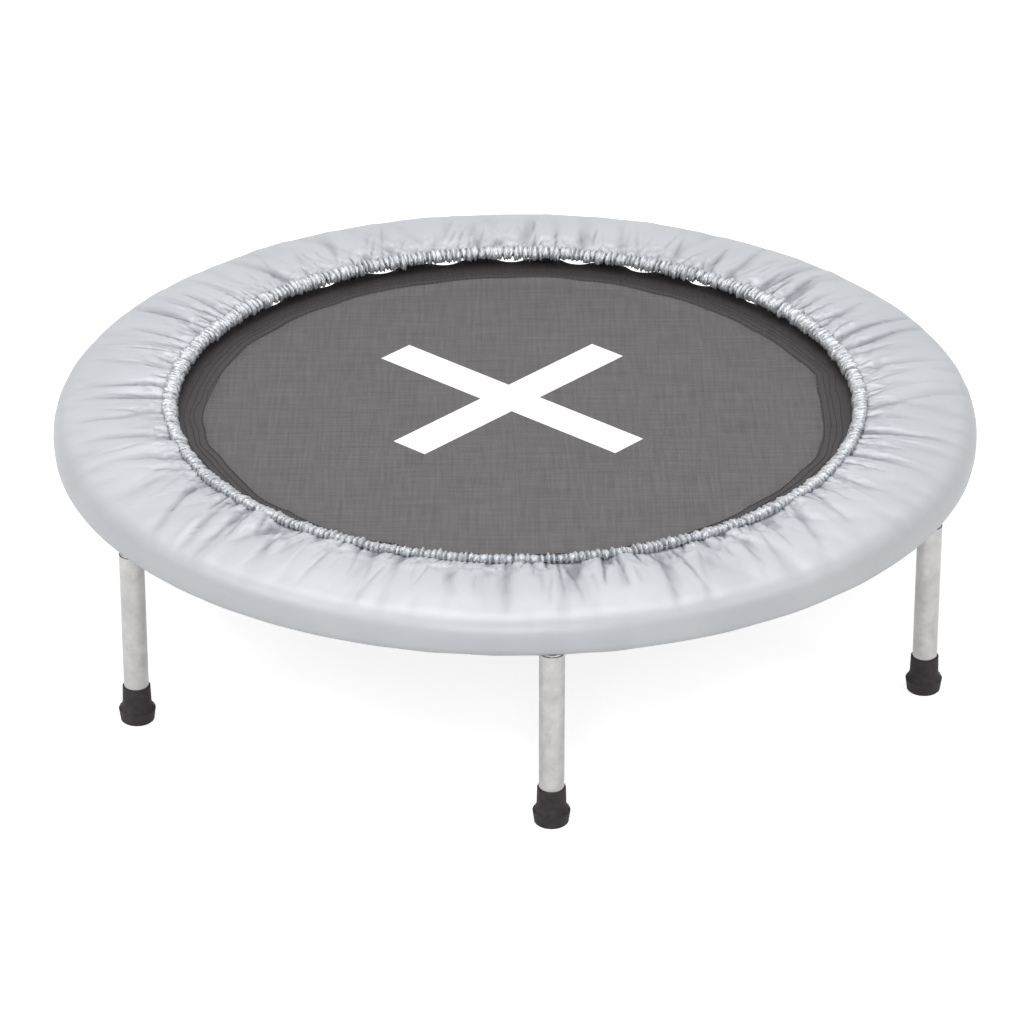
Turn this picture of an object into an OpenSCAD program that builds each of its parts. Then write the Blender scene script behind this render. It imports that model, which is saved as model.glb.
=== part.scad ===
// Mini trampoline: a tubular steel ring on screw-in legs, a woven bed hung on
// extension springs, and a gathered padded cover over the springs.
// Millimetres, +Z up. The origin is the centre of the floor circle under the feet.

/* [Frame] */
// Radius of the ring, to the centre of its tube
frame_r = 469; // [430:1:520]
// Height of the ring's tube centre above the floor
frame_z = 209; // [160:1:300]
// Outside diameter of the ring's tube
tube_d = 25.4; // [22:0.1:32]
// Wall of the ring's tube
tube_wall = 1.5; // [1:0.1:2.5]

/* [Legs] */
// Number of legs
leg_count = 6; // [4, 6]
// Outside diameter of a leg tube
leg_d = 25.4; // [23:0.1:30]
// Wall of a leg tube
leg_wall = 1.5; // [1:0.1:2.5]
// Thickness of the disc that closes the top of a leg
leg_disc_t = 4; // [2:0.5:8]
// Diameter of the threaded shank on a leg
bolt_d = 10; // [8:1:12]
// Length of shank that stands out of a leg
bolt_reach = 18; // [12:1:24]
// Width across the flats of the bolt head inside a leg
bolt_head_af = 16; // [14:1:18]
// Height of the bolt head
bolt_head_h = 6.4; // [5:0.1:8]
// Thickness of the threaded bush's flange
bush_flange_t = 2; // [1:0.5:4]
// Step from the ring's tube in to the threaded bush's flange
bush_step = 1; // [0.5:0.5:3]
// Diameter of the bush's neck where it is welded to the ring
bush_neck_d = 18; // [17:0.5:19]
// Diameter of the bush's core inside the ring's tube
bush_core_d = 14; // [13:0.5:15]
// Length of bush core inside the ring's tube, above its lowest point
bush_core_h = 18; // [12:1:20]

/* [Feet] */
// Height of a rubber foot
foot_h = 40; // [30:1:50]
// Rubber under the end of the leg tube
foot_floor = 6; // [4:0.5:9]
// Diameter of the foot on the floor
foot_base_d = 34.4; // [31:0.1:36]
// Largest diameter of the foot
foot_flange_d = 37.8; // [35:0.1:44]
// Height of the wide band of the foot
foot_flange_h = 14; // [10:0.5:18]
// Width of the ledge on top of the band
foot_ledge = 1.1; // [0.6:0.1:1.5]
// Height of the sloping shoulder above the band
foot_slope_h = 6.5; // [4:0.5:10]
// Diameter of the foot's sleeve at the shoulder
foot_sleeve_d = 29.8; // [29.2:0.1:33]
// Diameter of the foot's sleeve at its rim
foot_rim_d = 28.6; // [28:0.1:32]
// Number of small ribs round the shoulder
foot_ribs = 12; // [6:1:18]
// Thickness of a shoulder rib
foot_rib_t = 1.2; // [0.8:0.1:3]
// Height of a shoulder rib
foot_rib_h = 4; // [3:0.5:6]
// Radial width of the grip groove in the sole
foot_groove_w = 3; // [2:0.5:5]
// Depth of the grip groove
foot_groove_t = 1.5; // [0.5:0.5:3]

/* [Springs] */
// Number of springs
spring_count = 32; // [24:2:32]
// Wire of a spring
spring_wire = 2.2; // [1.8:0.1:2.6]
// Mean diameter of a spring's coil
spring_coil_d = 12.8; // [11:0.1:14]
// Length of a spring's wound body
spring_body = 52; // [45:1:75]
// Straight wire between the wound body and each hook
spring_lead = 5.5; // [5:0.5:10]
// Spare wall each side of the wire in the wound body
spring_lap = 0.2; // [0.1:0.05:0.4]
// Angle of the hook holes round the ring's tube, up from its inner side
hook_rise = 85; // [60:5:90]
// Diameter of the hook holes in the ring
hook_hole_d = 5; // [4.5:0.1:7]
// Sweep of the hook that holds a ring
hook_sweep = 165; // [140:5:200]

/* [Rings] */
// Wire of a V-ring
vring_wire = 3; // [2.5:0.1:4]
// Width of a V-ring, corner to corner on the wire's centre line
vring_w = 38; // [36:1:46]
// Depth of a V-ring, corner to corner on the wire's centre line
vring_h = 17; // [14:1:22]
// Bend radius of a V-ring's corners, on the wire's centre line
vring_bend = 2.5; // [2.2:0.1:3]
// Swelling of the wire's radius where it is bent
vring_swell = 0.06; // [0.04:0.01:0.1]

/* [Bed] */
// Thickness of the woven bed
mat_t = 1.2; // [0.8:0.1:2.5]
// Extra thickness of the hem
hem_t = 1; // [0.5:0.1:2]
// Width of the hem, inward from the valleys of the edge
hem_w = 42; // [20:1:60]
// Depth of the scallops between the tabs
scallop_h = 8.5; // [6:0.5:14]
// Width of the scallops at the tab ends
scallop_w = 35; // [28:1:40]
// Width of a webbing strap
web_w = 23; // [16:1:24]
// Thickness of a webbing strap
web_t = 1; // [0.6:0.1:1.4]
// Length of webbing sewn under the bed
web_len = 30; // [20:1:50]
// Length of webbing sewn on top of the bed
web_lap = 9; // [6:1:20]
// Length of the cross's bar from back left to front right
cross_len = 333; // [150:1:420]
// Length of the cross's other bar
cross_len_2 = 312; // [150:1:420]
// Width of the bars of the centre cross
cross_w = 44; // [20:1:80]
// Turn of the cross on the bed
cross_turn = -1.5; // [-15:0.5:15]
// Thickness of the centre cross
cross_t = 0.4; // [0.2:0.1:0.6]
// Place of the cross along X, from the middle of the bed
cross_x = -3; // [-60:1:60]
// Place of the cross along Y, from the middle of the bed
cross_y = 29; // [-60:1:60]

/* [Pad] */
// Reach of the pad, from the ring's tube centre in to the gathered edge
pad_reach = 113; // [100:1:150]
// Thickness of the foam
foam_t = 8; // [7:0.5:25]
// Rounding of the foam's edges, at most half its thickness
foam_round = 4; // [2:0.5:6]
// Thickness of the cover
cover_t = 1.6; // [1:0.1:2]
// Radius of the cover's outer top corner
corner_r = 18; // [12:1:22]
// Height that the cover crowns above its edges
crown = 1.5; // [0:0.1:6]
// Fall of the cover from the foam to its outer corner
edge_drop = 2.5; // [0:0.1:4]
// Drop of the skirt below the ring
skirt_drop = 2; // [0.5:0.5:4]
// Diameter of the elastic in the skirt's hem
elastic_d = 3; // [2.5:0.1:3.2]
// Number of main folds round the cover
fold_count = 17; // [9:1:18]
// Height of the main folds at the gathered edge
fold_h = 2.4; // [0:0.1:5]
// Radius of the gathered edge
casing_r = 5.5; // [4:0.1:8]
// Height of the gathers on that edge
ruffle_h = 1.1; // [0.2:0.1:2]
// Number of gathers
ruffle_count = 104; // [60:1:104]

/* [Clearances] */
// Gap between pieces that move on each other, and round soft pieces
seat_gap = 0.3; // [0.1:0.05:0.4]
// Radial clearance of a leg's thread
thread_gap = 0.08; // [0.02:0.01:0.1]
// Radial clearance of a leg in its foot, and of the bush in the ring
slip_gap = 0.1; // [0.05:0.05:0.3]
// Gap between the cover and what it covers
cover_gap = 0.9; // [0.7:0.1:1.5]

/* [Hidden] */
$fn = 48;
ring_fn = 144;
// Radii of the ring's tube
tube_r = tube_d / 2;
bore_r = tube_r - tube_wall;
// Middle of the hook hole: in the middle of the tube's wall
hole_r = tube_r - tube_wall / 2;
// Outer hook: an arc that enters its hole square to the wall
coil_r = spring_coil_d / 2;
wire_r = spring_wire / 2;
hook_r = frame_r - hole_r * cos(hook_rise) - coil_r * sin(hook_rise);
spring_z = frame_z + hole_r * sin(hook_rise) - coil_r * cos(hook_rise);
// Angle at which the outer hook's tip meets the inside of the tube
hook_dx = frame_r - hook_r;
hook_dz = frame_z - spring_z;
hook_far = norm([hook_dx, hook_dz]);
tip_reach = bore_r - wire_r - seat_gap;
tip_cos = (coil_r^2 + hook_far^2 - tip_reach^2) / (2 * coil_r * hook_far);
tip_angle = atan2(hook_dz, hook_dx) - acos(tip_cos);
// Chain from the ring in to the bed
body_out = hook_r - spring_lead;
body_in = body_out - spring_body;
catch_r = body_in - spring_lead;
vring_r = vring_wire / 2;
apex_r = catch_r - coil_r + wire_r + seat_gap + vring_r + vring_swell;
apex_half = atan2(vring_w / 2, vring_h);
apex_cut = vring_bend / sin(apex_half) - vring_bend;
bar_r = apex_r - vring_h + apex_cut;
loop_in = vring_r + seat_gap;
loop_out = loop_in + web_t;
tab_r = bar_r - loop_out - seat_gap;
valley_r = tab_r - scallop_h;
// Heights of the bed
mat_low = spring_z - mat_t / 2;
mat_top = spring_z + mat_t / 2;
hem_top = mat_top + hem_t;
// Circle that cuts one scallop
scallop_r = (scallop_w^2 / 4 + scallop_h^2) / (2 * scallop_h);
// Heights of the pad
foam_low = spring_z + coil_r + wire_r + spring_lap + seat_gap;
foam_top = foam_low + foam_t;
pad_top = foam_top + cover_gap + cover_t;
edge_top = pad_top - edge_drop;
// Dip of the cover at its stitch line, which still leaves the foam clear
seam_dip = cover_gap - seat_gap;
// Radii of the pad
pad_in = frame_r - pad_reach;
casing_c = pad_in + casing_r;
casing_z = pad_top - crown;
seam_r = casing_c + casing_r + ruffle_h + seat_gap;
wall_r = frame_r + tube_r + cover_gap + cover_t;
wall_in = wall_r - cover_t;
foam_edge = min(foam_round, foam_t / 2);
foam_in = seam_r + foam_edge;
foam_out = frame_r - tube_r - 2 * foam_edge;
// Lower edge of the skirt, with its elastic
skirt_z = frame_z - tube_r - skirt_drop;
cover_steps = 72;
elastic_c = wall_in * cos(180 / cover_steps) - seat_gap - elastic_d / 2;
elastic_z = skirt_z + cover_t + 2 * seat_gap + elastic_d / 2;
lip_r = elastic_c - elastic_d / 2;
// Heights of the bush and the leg
bush_top = frame_z - tube_r + bush_core_h;
flange_top = skirt_z - seat_gap;
flange_low = flange_top - bush_flange_t;
leg_top = flange_low - seat_gap;
bolt_seat = leg_top - leg_disc_t;
// The springs turn by a third of their pitch, so that no hook meets a leg's bush
spring_turn = -360 / spring_count / 3;
// Direction of each leg and spring; leg 1 stands at the front
function leg_angle(i) = -90 + (i - 1) * 360 / leg_count;
function spring_angle(i) = -90 + spring_turn + (i - 0.5) * 360 / spring_count;
function two(i) = i < 10 ? str("0", i) : str(i);

module at_leg(i) {
    rotate(leg_angle(i)) translate([frame_r, 0, 0]) children();
}

// Solid ring of round section: r is the ring's radius, d its section
module ring(r, z, d) {
    translate([0, 0, z]) rotate_extrude($fn = ring_fn) translate([r, 0]) circle(d = d);
}

// Bent round wire in the plane y = 0, about the point (x, z)
module wire_arc(x, z, bend, from, sweep, d) {
    translate([x, 0, z]) rotate([90, 0, 0])
        rotate_extrude(angle = sweep, start = from) translate([bend, 0]) circle(d = d);
}

// Straight round wire along +X from (x, z)
module wire_run(x, z, len, d) {
    translate([x, 0, z]) rotate([0, 90, 0]) cylinder(h = len, d = d);
}

// The welded ring: bent tube, hook holes along its top, bush holes below
module frame_ring() {
    color("silver") difference() {
        translate([0, 0, frame_z]) rotate_extrude($fn = ring_fn) translate([frame_r, 0]) difference() {
            circle(d = tube_d);
            circle(r = bore_r);
        }
        for (i = [1:spring_count]) rotate(spring_angle(i))
            translate([frame_r, 0, frame_z]) rotate([0, hook_rise - 90, 0])
                translate([0, 0, bore_r / 2]) cylinder(h = tube_r, d = hook_hole_d);
        for (i = [1:leg_count]) at_leg(i)
            translate([0, 0, frame_z - 2 * tube_r]) cylinder(h = 2 * tube_r, r = bush_core_d / 2 + slip_gap);
    }
}

// Threaded bush: a flange for the leg, a neck coped to the ring, a core inside the tube
module leg_bush() {
    neck_h = tube_r;
    difference() {
        union() {
            translate([0, 0, flange_low]) cylinder(h = bush_flange_t, r = tube_r - bush_step);
            translate([0, 0, flange_top]) cylinder(h = bush_top - flange_top, d = bush_core_d);
            translate([0, 0, flange_top - bush_flange_t / 2]) cylinder(h = neck_h, d = bush_neck_d);
        }
        difference() {
            translate([-frame_r, 0, 0]) ring(frame_r, frame_z, tube_d);
            cylinder(h = bush_top + tube_d, d = bush_core_d);
        }
        cylinder(h = bush_top + tube_d, r = bolt_d / 2 + thread_gap);
    }
}

module leg_bushes() {
    color("gainsboro") for (i = [1:leg_count]) at_leg(i) leg_bush();
}

// Leg tube with a welded disc at the top
module leg(i) {
    color("gainsboro") at_leg(i) difference() {
        translate([0, 0, foot_floor]) cylinder(h = leg_top - foot_floor, d = leg_d);
        translate([0, 0, foot_floor - 1]) cylinder(h = bolt_seat - foot_floor + 1, d = leg_d - 2 * leg_wall);
        cylinder(h = leg_top + 1, r = bolt_d / 2 + slip_gap);
    }
}

// Hexagon bolt through the disc: its shank screws into the bush
module leg_bolt(i) {
    color("darkgray") at_leg(i) {
        translate([0, 0, bolt_seat - bolt_head_h])
            cylinder(h = bolt_head_h, d = bolt_head_af / cos(30), $fn = 6);
        translate([0, 0, bolt_seat - bolt_head_h / 2])
            cylinder(h = bolt_head_h / 2 + leg_disc_t + bolt_reach, d = bolt_d);
    }
}

// Rubber ferrule: tapered band, sloping shoulder with ribs, tapered sleeve, grooved sole
module foot(i) {
    sleeve_r = leg_d / 2 + slip_gap;
    base_r = foot_base_d / 2;
    flange_r = foot_flange_d / 2;
    ledge_r = flange_r - foot_ledge;
    shoulder_r = foot_sleeve_d / 2;
    rim_r = foot_rim_d / 2;
    edge = foot_ledge / 2;
    color("dimgray") at_leg(i) union() {
        rotate_extrude() difference() {
            polygon([
                [0, 0], [base_r - foot_ledge, 0], [base_r, foot_ledge],
                [flange_r, foot_flange_h - edge], [flange_r - edge, foot_flange_h],
                [ledge_r, foot_flange_h], [shoulder_r, foot_flange_h + foot_slope_h],
                [rim_r, foot_h - edge], [rim_r - edge, foot_h], [0, foot_h]
            ]);
            translate([-1, foot_floor]) square([sleeve_r + 1, foot_h]);
            translate([base_r / 2, -foot_groove_t]) square([foot_groove_w, 2 * foot_groove_t]);
        }
        for (k = [1:foot_ribs]) rotate((k - 0.5) * 360 / foot_ribs) translate([0, foot_rib_t / 2, 0])
            rotate([90, 0, 0]) linear_extrude(foot_rib_t) polygon([
                [shoulder_r - edge, foot_flange_h - edge],
                [ledge_r, foot_flange_h - edge],
                [ledge_r, foot_flange_h + foot_rib_h / 2],
                [shoulder_r - edge, foot_flange_h + foot_rib_h]
            ]);
    }
}

// Extension spring at rest: close-wound body, a hook in the ring, a hook round a V-ring
module spring(i) {
    lap = spring_wire / 2;
    top_z = spring_z + coil_r;
    color("lightgray") rotate(spring_angle(i)) {
        difference() {
            wire_run(body_in, spring_z, spring_body, spring_coil_d + spring_wire + 2 * spring_lap);
            wire_run(body_in - 1, spring_z, spring_body + 2, spring_coil_d - spring_wire - 2 * spring_lap);
        }
        wire_run(body_out - lap, top_z, spring_lead + lap, spring_wire);
        wire_arc(hook_r, spring_z, coil_r, tip_angle, 90 - tip_angle, spring_wire);
        wire_run(catch_r, top_z, spring_lead + lap, spring_wire);
        wire_arc(catch_r, spring_z, coil_r, 90, hook_sweep, spring_wire);
    }
}

// Outline of the bed: a disc with a scallop cut between each pair of tabs
module bed_outline() {
    difference() {
        circle(r = tab_r, $fn = ring_fn);
        for (i = [1:spring_count]) rotate(spring_angle(i + 0.5))
            translate([valley_r + scallop_r, 0]) circle(r = scallop_r, $fn = ring_fn);
    }
}

// Outline of the plain cross on the bed
module cross_outline() {
    translate([cross_x, cross_y]) rotate(cross_turn) {
        rotate(-45) square([cross_len, cross_w], center = true);
        rotate(45) square([cross_len_2, cross_w], center = true);
    }
}

// Woven bed with its doubled hem; the cross is let into its face
module mat() {
    color("dimgray") difference() {
        union() {
            translate([0, 0, mat_low]) linear_extrude(mat_t) bed_outline();
            translate([0, 0, mat_low]) linear_extrude(mat_t + hem_t) difference() {
                bed_outline();
                circle(r = valley_r - hem_w, $fn = ring_fn);
            }
        }
        translate([0, 0, mat_top - cross_t]) linear_extrude(mat_t) cross_outline();
    }
}

// Webbing straps: each folds round the bar of a V-ring and is sewn above and below the bed
module webbing_tabs() {
    color("black") for (i = [1:spring_count]) rotate(spring_angle(i))
        translate([bar_r, web_w / 2, spring_z]) rotate([90, 0, 0]) linear_extrude(web_w) difference() {
            union() {
                circle(r = loop_out);
                translate([-web_lap, hem_top - spring_z]) square([web_lap, web_t]);
                translate([-web_len, mat_low - spring_z - web_t]) square([web_len, web_t]);
            }
            circle(r = loop_in);
        }
}

// One corner and one side of a V-ring, laid flat: the bend at the origin, the side along +X
module vring_side(len, turn) {
    // The straight wire runs into the bends by as much as their swelling hides
    lap = sqrt(vring_bend * vring_swell);
    translate([-lap, 0, 0]) rotate([0, 90, 0]) cylinder(h = len + 2 * lap, r = vring_r);
    translate([len, vring_bend, 0]) rotate_extrude(angle = turn, start = -90)
        translate([vring_bend, 0]) circle(r = vring_r + vring_swell);
}

// V-ring: a bar for the webbing and two sides that meet at the spring's hook
module v_ring() {
    corner = 90 - apex_half;
    bar_cut = vring_bend / tan(corner / 2);
    tip_cut = vring_bend / tan(apex_half);
    bar_len = vring_w - 2 * bar_cut;
    side_len = norm([vring_w / 2, vring_h]) - bar_cut - tip_cut;
    // The bar runs along -Y on the bed's side, and each side leans in to the apex
    translate([0, bar_len / 2, 0]) rotate(-90) vring_side(bar_len, 180 - corner);
    translate([bar_cut * sin(corner), bar_cut * cos(corner) - vring_w / 2, 0])
        rotate(90 - corner) vring_side(side_len, 180 - 2 * apex_half);
    translate([vring_h - tip_cut * cos(apex_half), tip_cut * sin(apex_half), 0])
        rotate(90 + corner) vring_side(side_len, 180 - corner);
}

module v_rings() {
    color("silver") for (i = [1:spring_count]) rotate(spring_angle(i))
        translate([bar_r, 0, spring_z]) v_ring();
}

// Plain cross, flush with the bed
module centre_cross() {
    color("white") translate([0, 0, mat_top - cross_t]) linear_extrude(cross_t) cross_outline();
}

// Foam ring that lies on the springs
module pad_foam() {
    color("whitesmoke") translate([0, 0, foam_low]) rotate_extrude($fn = ring_fn) {
        translate([foam_in, 0]) square([foam_out - foam_in, foam_t]);
        for (r = [foam_in, foam_out]) {
            translate([r, foam_t - foam_edge]) circle(r = foam_edge);
            translate([r - foam_edge, 0]) square([2 * foam_edge, foam_t - foam_edge]);
        }
    }
}

// Triangles of a closed tube: rings of m points each, n rings round
function tube_faces(n, m) = [
    for (j = [0:n - 1], k = [0:m - 1])
        let (a = j * m + k, b = j * m + (k + 1) % m, c = ((j + 1) % n) * m + k, d = ((j + 1) % n) * m + (k + 1) % m)
            each [[a, b, d], [a, d, c]]
];
function swing(p, a) = [p[0] * cos(a), p[0] * sin(a), p[1]];

// Height of the cover's folds at angle a, from 0 to 1: uneven, and never below the foam
function fold(a) =
    pow(max(0, sin(fold_count * a + 35 * sin(5 * a) + 20 * sin(3 * a + 50))), 2) * (0.65 + 0.35 * sin(7 * a + 15));
function corner_point(r, a) = [wall_r - corner_r + r * cos(a), edge_top - corner_r + r * sin(a)];

// Section of the cover at angle a: out over the top, down the wall, and back along the lining
function cover_section(a) =
    let (
        lift = fold_h * fold(a),
        span = wall_r - corner_r - seam_r,
        top = [
            [seam_r, pad_top - seam_dip + lift],
            [seam_r + span * 0.35, pad_top + crown + lift * 0.65],
            [seam_r + span * 0.72, pad_top + crown * 0.6 + lift * 0.2]
        ],
        lining = [for (p = top) p - [0, cover_t]]
    )
    concat(
        top,
        [for (t = [80, 45, 10]) corner_point(corner_r, t)],
        [[wall_r, skirt_z + cover_t], [wall_r - cover_t / 2, skirt_z]],
        [[lip_r, skirt_z], [lip_r, skirt_z + cover_t], [wall_in, skirt_z + cover_t + seat_gap]],
        [for (t = [0, 45, 90]) corner_point(corner_r - cover_t, t)],
        [lining[2], lining[1], lining[0]]
    );

// Padded cover: top, rounded outer wall and the lip that holds the elastic
module pad_cover() {
    sections = [for (j = [0:cover_steps - 1]) let (a = j * 360 / cover_steps)
        [for (p = cover_section(a)) swing(p, a)]];
    m = len(sections[0]);
    color("lightsteelblue") polyhedron(points = [for (s = sections) each s], faces = tube_faces(cover_steps, m));
}

// Gathered inner edge: the cover's casing, bunched up on its elastic
module gathered_casing() {
    n = 2 * ruffle_count;
    sides = 6;
    points = [for (j = [0:n - 1], k = [0:sides - 1])
        let (
            a = j * 360 / n,
            bunch = ruffle_h * (0.7 + 0.3 * sin(31 * a + 40 * sin(4 * a))),
            r = casing_r + (j % 2 == 0 ? bunch : -bunch),
            t = -k * 360 / sides + 30
        )
        swing([casing_c + r * cos(t), casing_z + r * sin(t)], a)];
    color("lightsteelblue") polyhedron(points = points, faces = tube_faces(n, sides));
}

// Elastic cord that lies in the lip of the skirt
module hem_elastic() {
    color("white") ring(elastic_c, elastic_z, elastic_d);
}

frame_ring();
leg_bushes();
for (i = [1:leg_count]) {
    leg(i);
    leg_bolt(i);
    foot(i);
}
for (i = [1:spring_count])
    spring(i);
mat();
webbing_tabs();
v_rings();
centre_cross();
pad_cover();
pad_foam();
gathered_casing();
hem_elastic();
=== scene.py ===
"""Dress the mini trampoline: a steel ring on six legs, a sprung woven bed and a gathered padded cover.

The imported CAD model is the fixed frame, in metres with +Z up. Rigid CAD pieces keep their
meshes and get their finishes here. Springs, bed, webbing, foam, cover and gathered edge are
modelled here and replace their CAD solids. Sizes are in millimetres and angles in degrees
until a mesh is written.
"""

from __future__ import annotations

import logging
import math
from dataclasses import dataclass
from enum import Enum
from functools import partial
from typing import Any

import bpy
import numpy as np
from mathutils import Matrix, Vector

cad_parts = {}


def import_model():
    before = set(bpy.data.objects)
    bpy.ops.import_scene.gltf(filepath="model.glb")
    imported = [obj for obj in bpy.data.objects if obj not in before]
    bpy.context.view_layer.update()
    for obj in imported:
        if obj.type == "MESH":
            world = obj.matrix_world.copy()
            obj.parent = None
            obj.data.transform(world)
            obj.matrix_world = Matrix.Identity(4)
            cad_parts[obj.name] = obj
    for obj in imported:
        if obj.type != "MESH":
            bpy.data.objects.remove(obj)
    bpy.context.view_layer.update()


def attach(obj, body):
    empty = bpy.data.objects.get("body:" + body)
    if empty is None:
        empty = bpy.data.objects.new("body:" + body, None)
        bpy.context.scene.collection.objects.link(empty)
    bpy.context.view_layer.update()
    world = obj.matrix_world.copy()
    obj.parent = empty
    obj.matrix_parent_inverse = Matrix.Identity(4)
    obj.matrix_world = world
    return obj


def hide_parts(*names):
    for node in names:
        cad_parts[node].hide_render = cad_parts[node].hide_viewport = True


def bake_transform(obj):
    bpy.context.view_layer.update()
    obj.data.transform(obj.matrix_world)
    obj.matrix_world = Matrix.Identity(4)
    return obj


LOG = logging.getLogger("mini_trampoline")
MM = 0.001
PHOTO_SIDE = 1024
SEED = 17
# Mesh attribute of how creased a cloth is; the cloth's material turns it into painted shade.
CREASE_ATTRIBUTE = "crease"
WHITE = (1.0, 1.0, 1.0, 1.0)


class Body(str, Enum):
    """The CAD bodies that pieces ride on."""

    FRAME = "frame"
    BED = "bed"


class Side(Enum):
    """Which way a grid's faces look when its columns run round the ring."""

    OUTWARD = 1
    INWARD = -1


def linear(hex_colour: str, alpha: float = 1.0) -> tuple[float, float, float, float]:
    """Turn an sRGB hex colour into linear RGBA.

    Args:
        hex_colour: Six hex digits after a hash sign.
        alpha: Alpha of the result.

    Returns:
        Linear red, green, blue and alpha.
    """
    parts = [int(hex_colour[i : i + 2], 16) / 255 for i in (1, 3, 5)]
    curve = [c / 12.92 if c <= 0.04045 else ((c + 0.055) / 1.055) ** 2.4 for c in parts]
    return (*curve, alpha)


def add_node(
    tree: bpy.types.NodeTree,
    kind: str,
    inputs: dict[Any, Any] | None = None,
    out: str | int | None = None,
    **settings: Any,
) -> Any:
    """Add one node, set its properties, and fill or link its inputs.

    Args:
        tree: The tree that gets the node.
        kind: The node's type name, which for a shader node may go without its ShaderNode.
        inputs: Input name or number to a value or to the output socket that feeds it.
        out: Name or number of the output socket that is wanted.
        **settings: Properties of the node.

    Returns:
        The output socket, or the new node where none is named.
    """
    made = tree.nodes.new(kind if "Node" in kind else f"ShaderNode{kind}")
    for name, value in settings.items():
        setattr(made, name, value)
    for key, value in (inputs or {}).items():
        if isinstance(value, bpy.types.NodeSocket):
            tree.links.new(value, made.inputs[key])
        else:
            made.inputs[key].default_value = value
    return made if out is None else made.outputs[out]


def per_mm(size_mm: float) -> float:
    """Scale of a pattern on Object coordinates whose repeat is size_mm."""
    return 1.0 / (size_mm * MM)


def seen_rays(tree: bpy.types.NodeTree) -> bpy.types.NodeSocket:
    """Socket that is 1 for camera, glossy and transmission rays and 0 for all others.

    Args:
        tree: The tree that gets the nodes.

    Returns:
        The output socket.
    """
    path = add_node(tree, "LightPath").outputs
    seen = path["Is Camera Ray"]
    for kind in ("Is Glossy Ray", "Is Transmission Ray"):
        seen = add_node(tree, "Math", {0: seen, 1: path[kind]}, 0, operation="MAXIMUM")
    return seen


@dataclass(frozen=True)
class Finish:
    """A material that is named for what it is and how its surface was made."""

    name: str

    def make(self) -> bpy.types.Material:
        """Build the material once and hand it out again afterwards.

        Returns:
            The material.
        """
        known = bpy.data.materials.get(self.name)
        if known:
            return known
        made = bpy.data.materials.new(self.name)
        made.use_nodes = True
        tree = made.node_tree
        tree.nodes.clear()
        shader = add_node(tree, "BsdfPrincipled", self.look(tree), "BSDF")
        add_node(tree, "OutputMaterial", {"Surface": shader})
        return made

    def look(self, tree: bpy.types.NodeTree) -> dict[str, Any]:
        """Add the nodes of the pattern and return what the Principled shader gets.

        Args:
            tree: The material's node tree.

        Returns:
            Inputs of the Principled shader.
        """
        raise NotImplementedError


@dataclass(frozen=True)
class CoatedCloth(Finish):
    """Polyester cloth with a silver PVC coat: a satin sheen, fine grain, and painted shade that darkens
    its creases.

    The float attribute named by CREASE_ATTRIBUTE says where the cloth is creased, from 0 to 1, and how
    much painted shade its colour gets there.
    The grain is drawn about three times as coarse as the real threads, so that it shows.
    """

    pale: str = "#c6c8cc"
    dark: str = "#b3b6bb"
    # creased is painted shade: the colour that the cloth's hollows are darkened to.
    creased: str = "#74787f"
    rough: float = 0.47
    metal: float = 0.25
    cloud_mm: float = 90.0
    grain_mm: float = 1.6
    crinkle_mm: float = 16.0
    crinkle: float = 0.22
    crinkle_depth_mm: float = 0.9
    grain_depth_mm: float = 0.2

    def look(self, tree: bpy.types.NodeTree) -> dict[str, Any]:
        """Cloudy silver, creased finely, with painted shade in its folds and the grain of the cloth in
        its gloss.

        Args:
            tree: The material's node tree.

        Returns:
            Inputs of the Principled shader.
        """
        add = partial(add_node, tree)
        at = add("TexCoord", out="Object")
        cloud = add("TexNoise", {"Vector": at, "Scale": per_mm(self.cloud_mm), "Detail": 4.0}, "Fac")
        tones = {6: linear(self.dark), 7: linear(self.pale)}
        tone = add("Mix", {"Factor": cloud, **tones}, 2, data_type="RGBA")
        # Painted shade: the crease attribute pulls the tone towards the creased colour in the folds'
        # hollows.
        crease = add("Attribute", out="Fac", attribute_name=CREASE_ATTRIBUTE)
        dust_and_crease_shade = add("Mix", {"Factor": crease, 6: tone, 7: linear(self.creased)}, 2, data_type="RGBA")
        grain = add("TexNoise", {"Vector": at, "Scale": per_mm(self.grain_mm), "Detail": 2.0}, "Fac")
        uneven = {"Detail": 5.0, "Roughness": 0.62, "Distortion": 0.8}
        crinkle = add("TexNoise", {"Vector": at, "Scale": per_mm(self.crinkle_mm), **uneven}, "Fac")
        low, high = self.rough - 0.06, self.rough + 0.08
        gloss = add("MapRange", {"Value": grain, "To Min": low, "To Max": high}, "Result")
        depth, fine_depth = self.crinkle_depth_mm * MM, self.grain_depth_mm * MM
        folds = add("Bump", {"Height": crinkle, "Strength": self.crinkle, "Distance": depth}, "Normal")
        fine = {"Height": grain, "Strength": 0.1, "Distance": fine_depth, "Normal": folds}
        bump = add("Bump", fine, "Normal")
        return {"Base Color": dust_and_crease_shade, "Roughness": gloss, "Metallic": self.metal, "Normal": bump}


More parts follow.
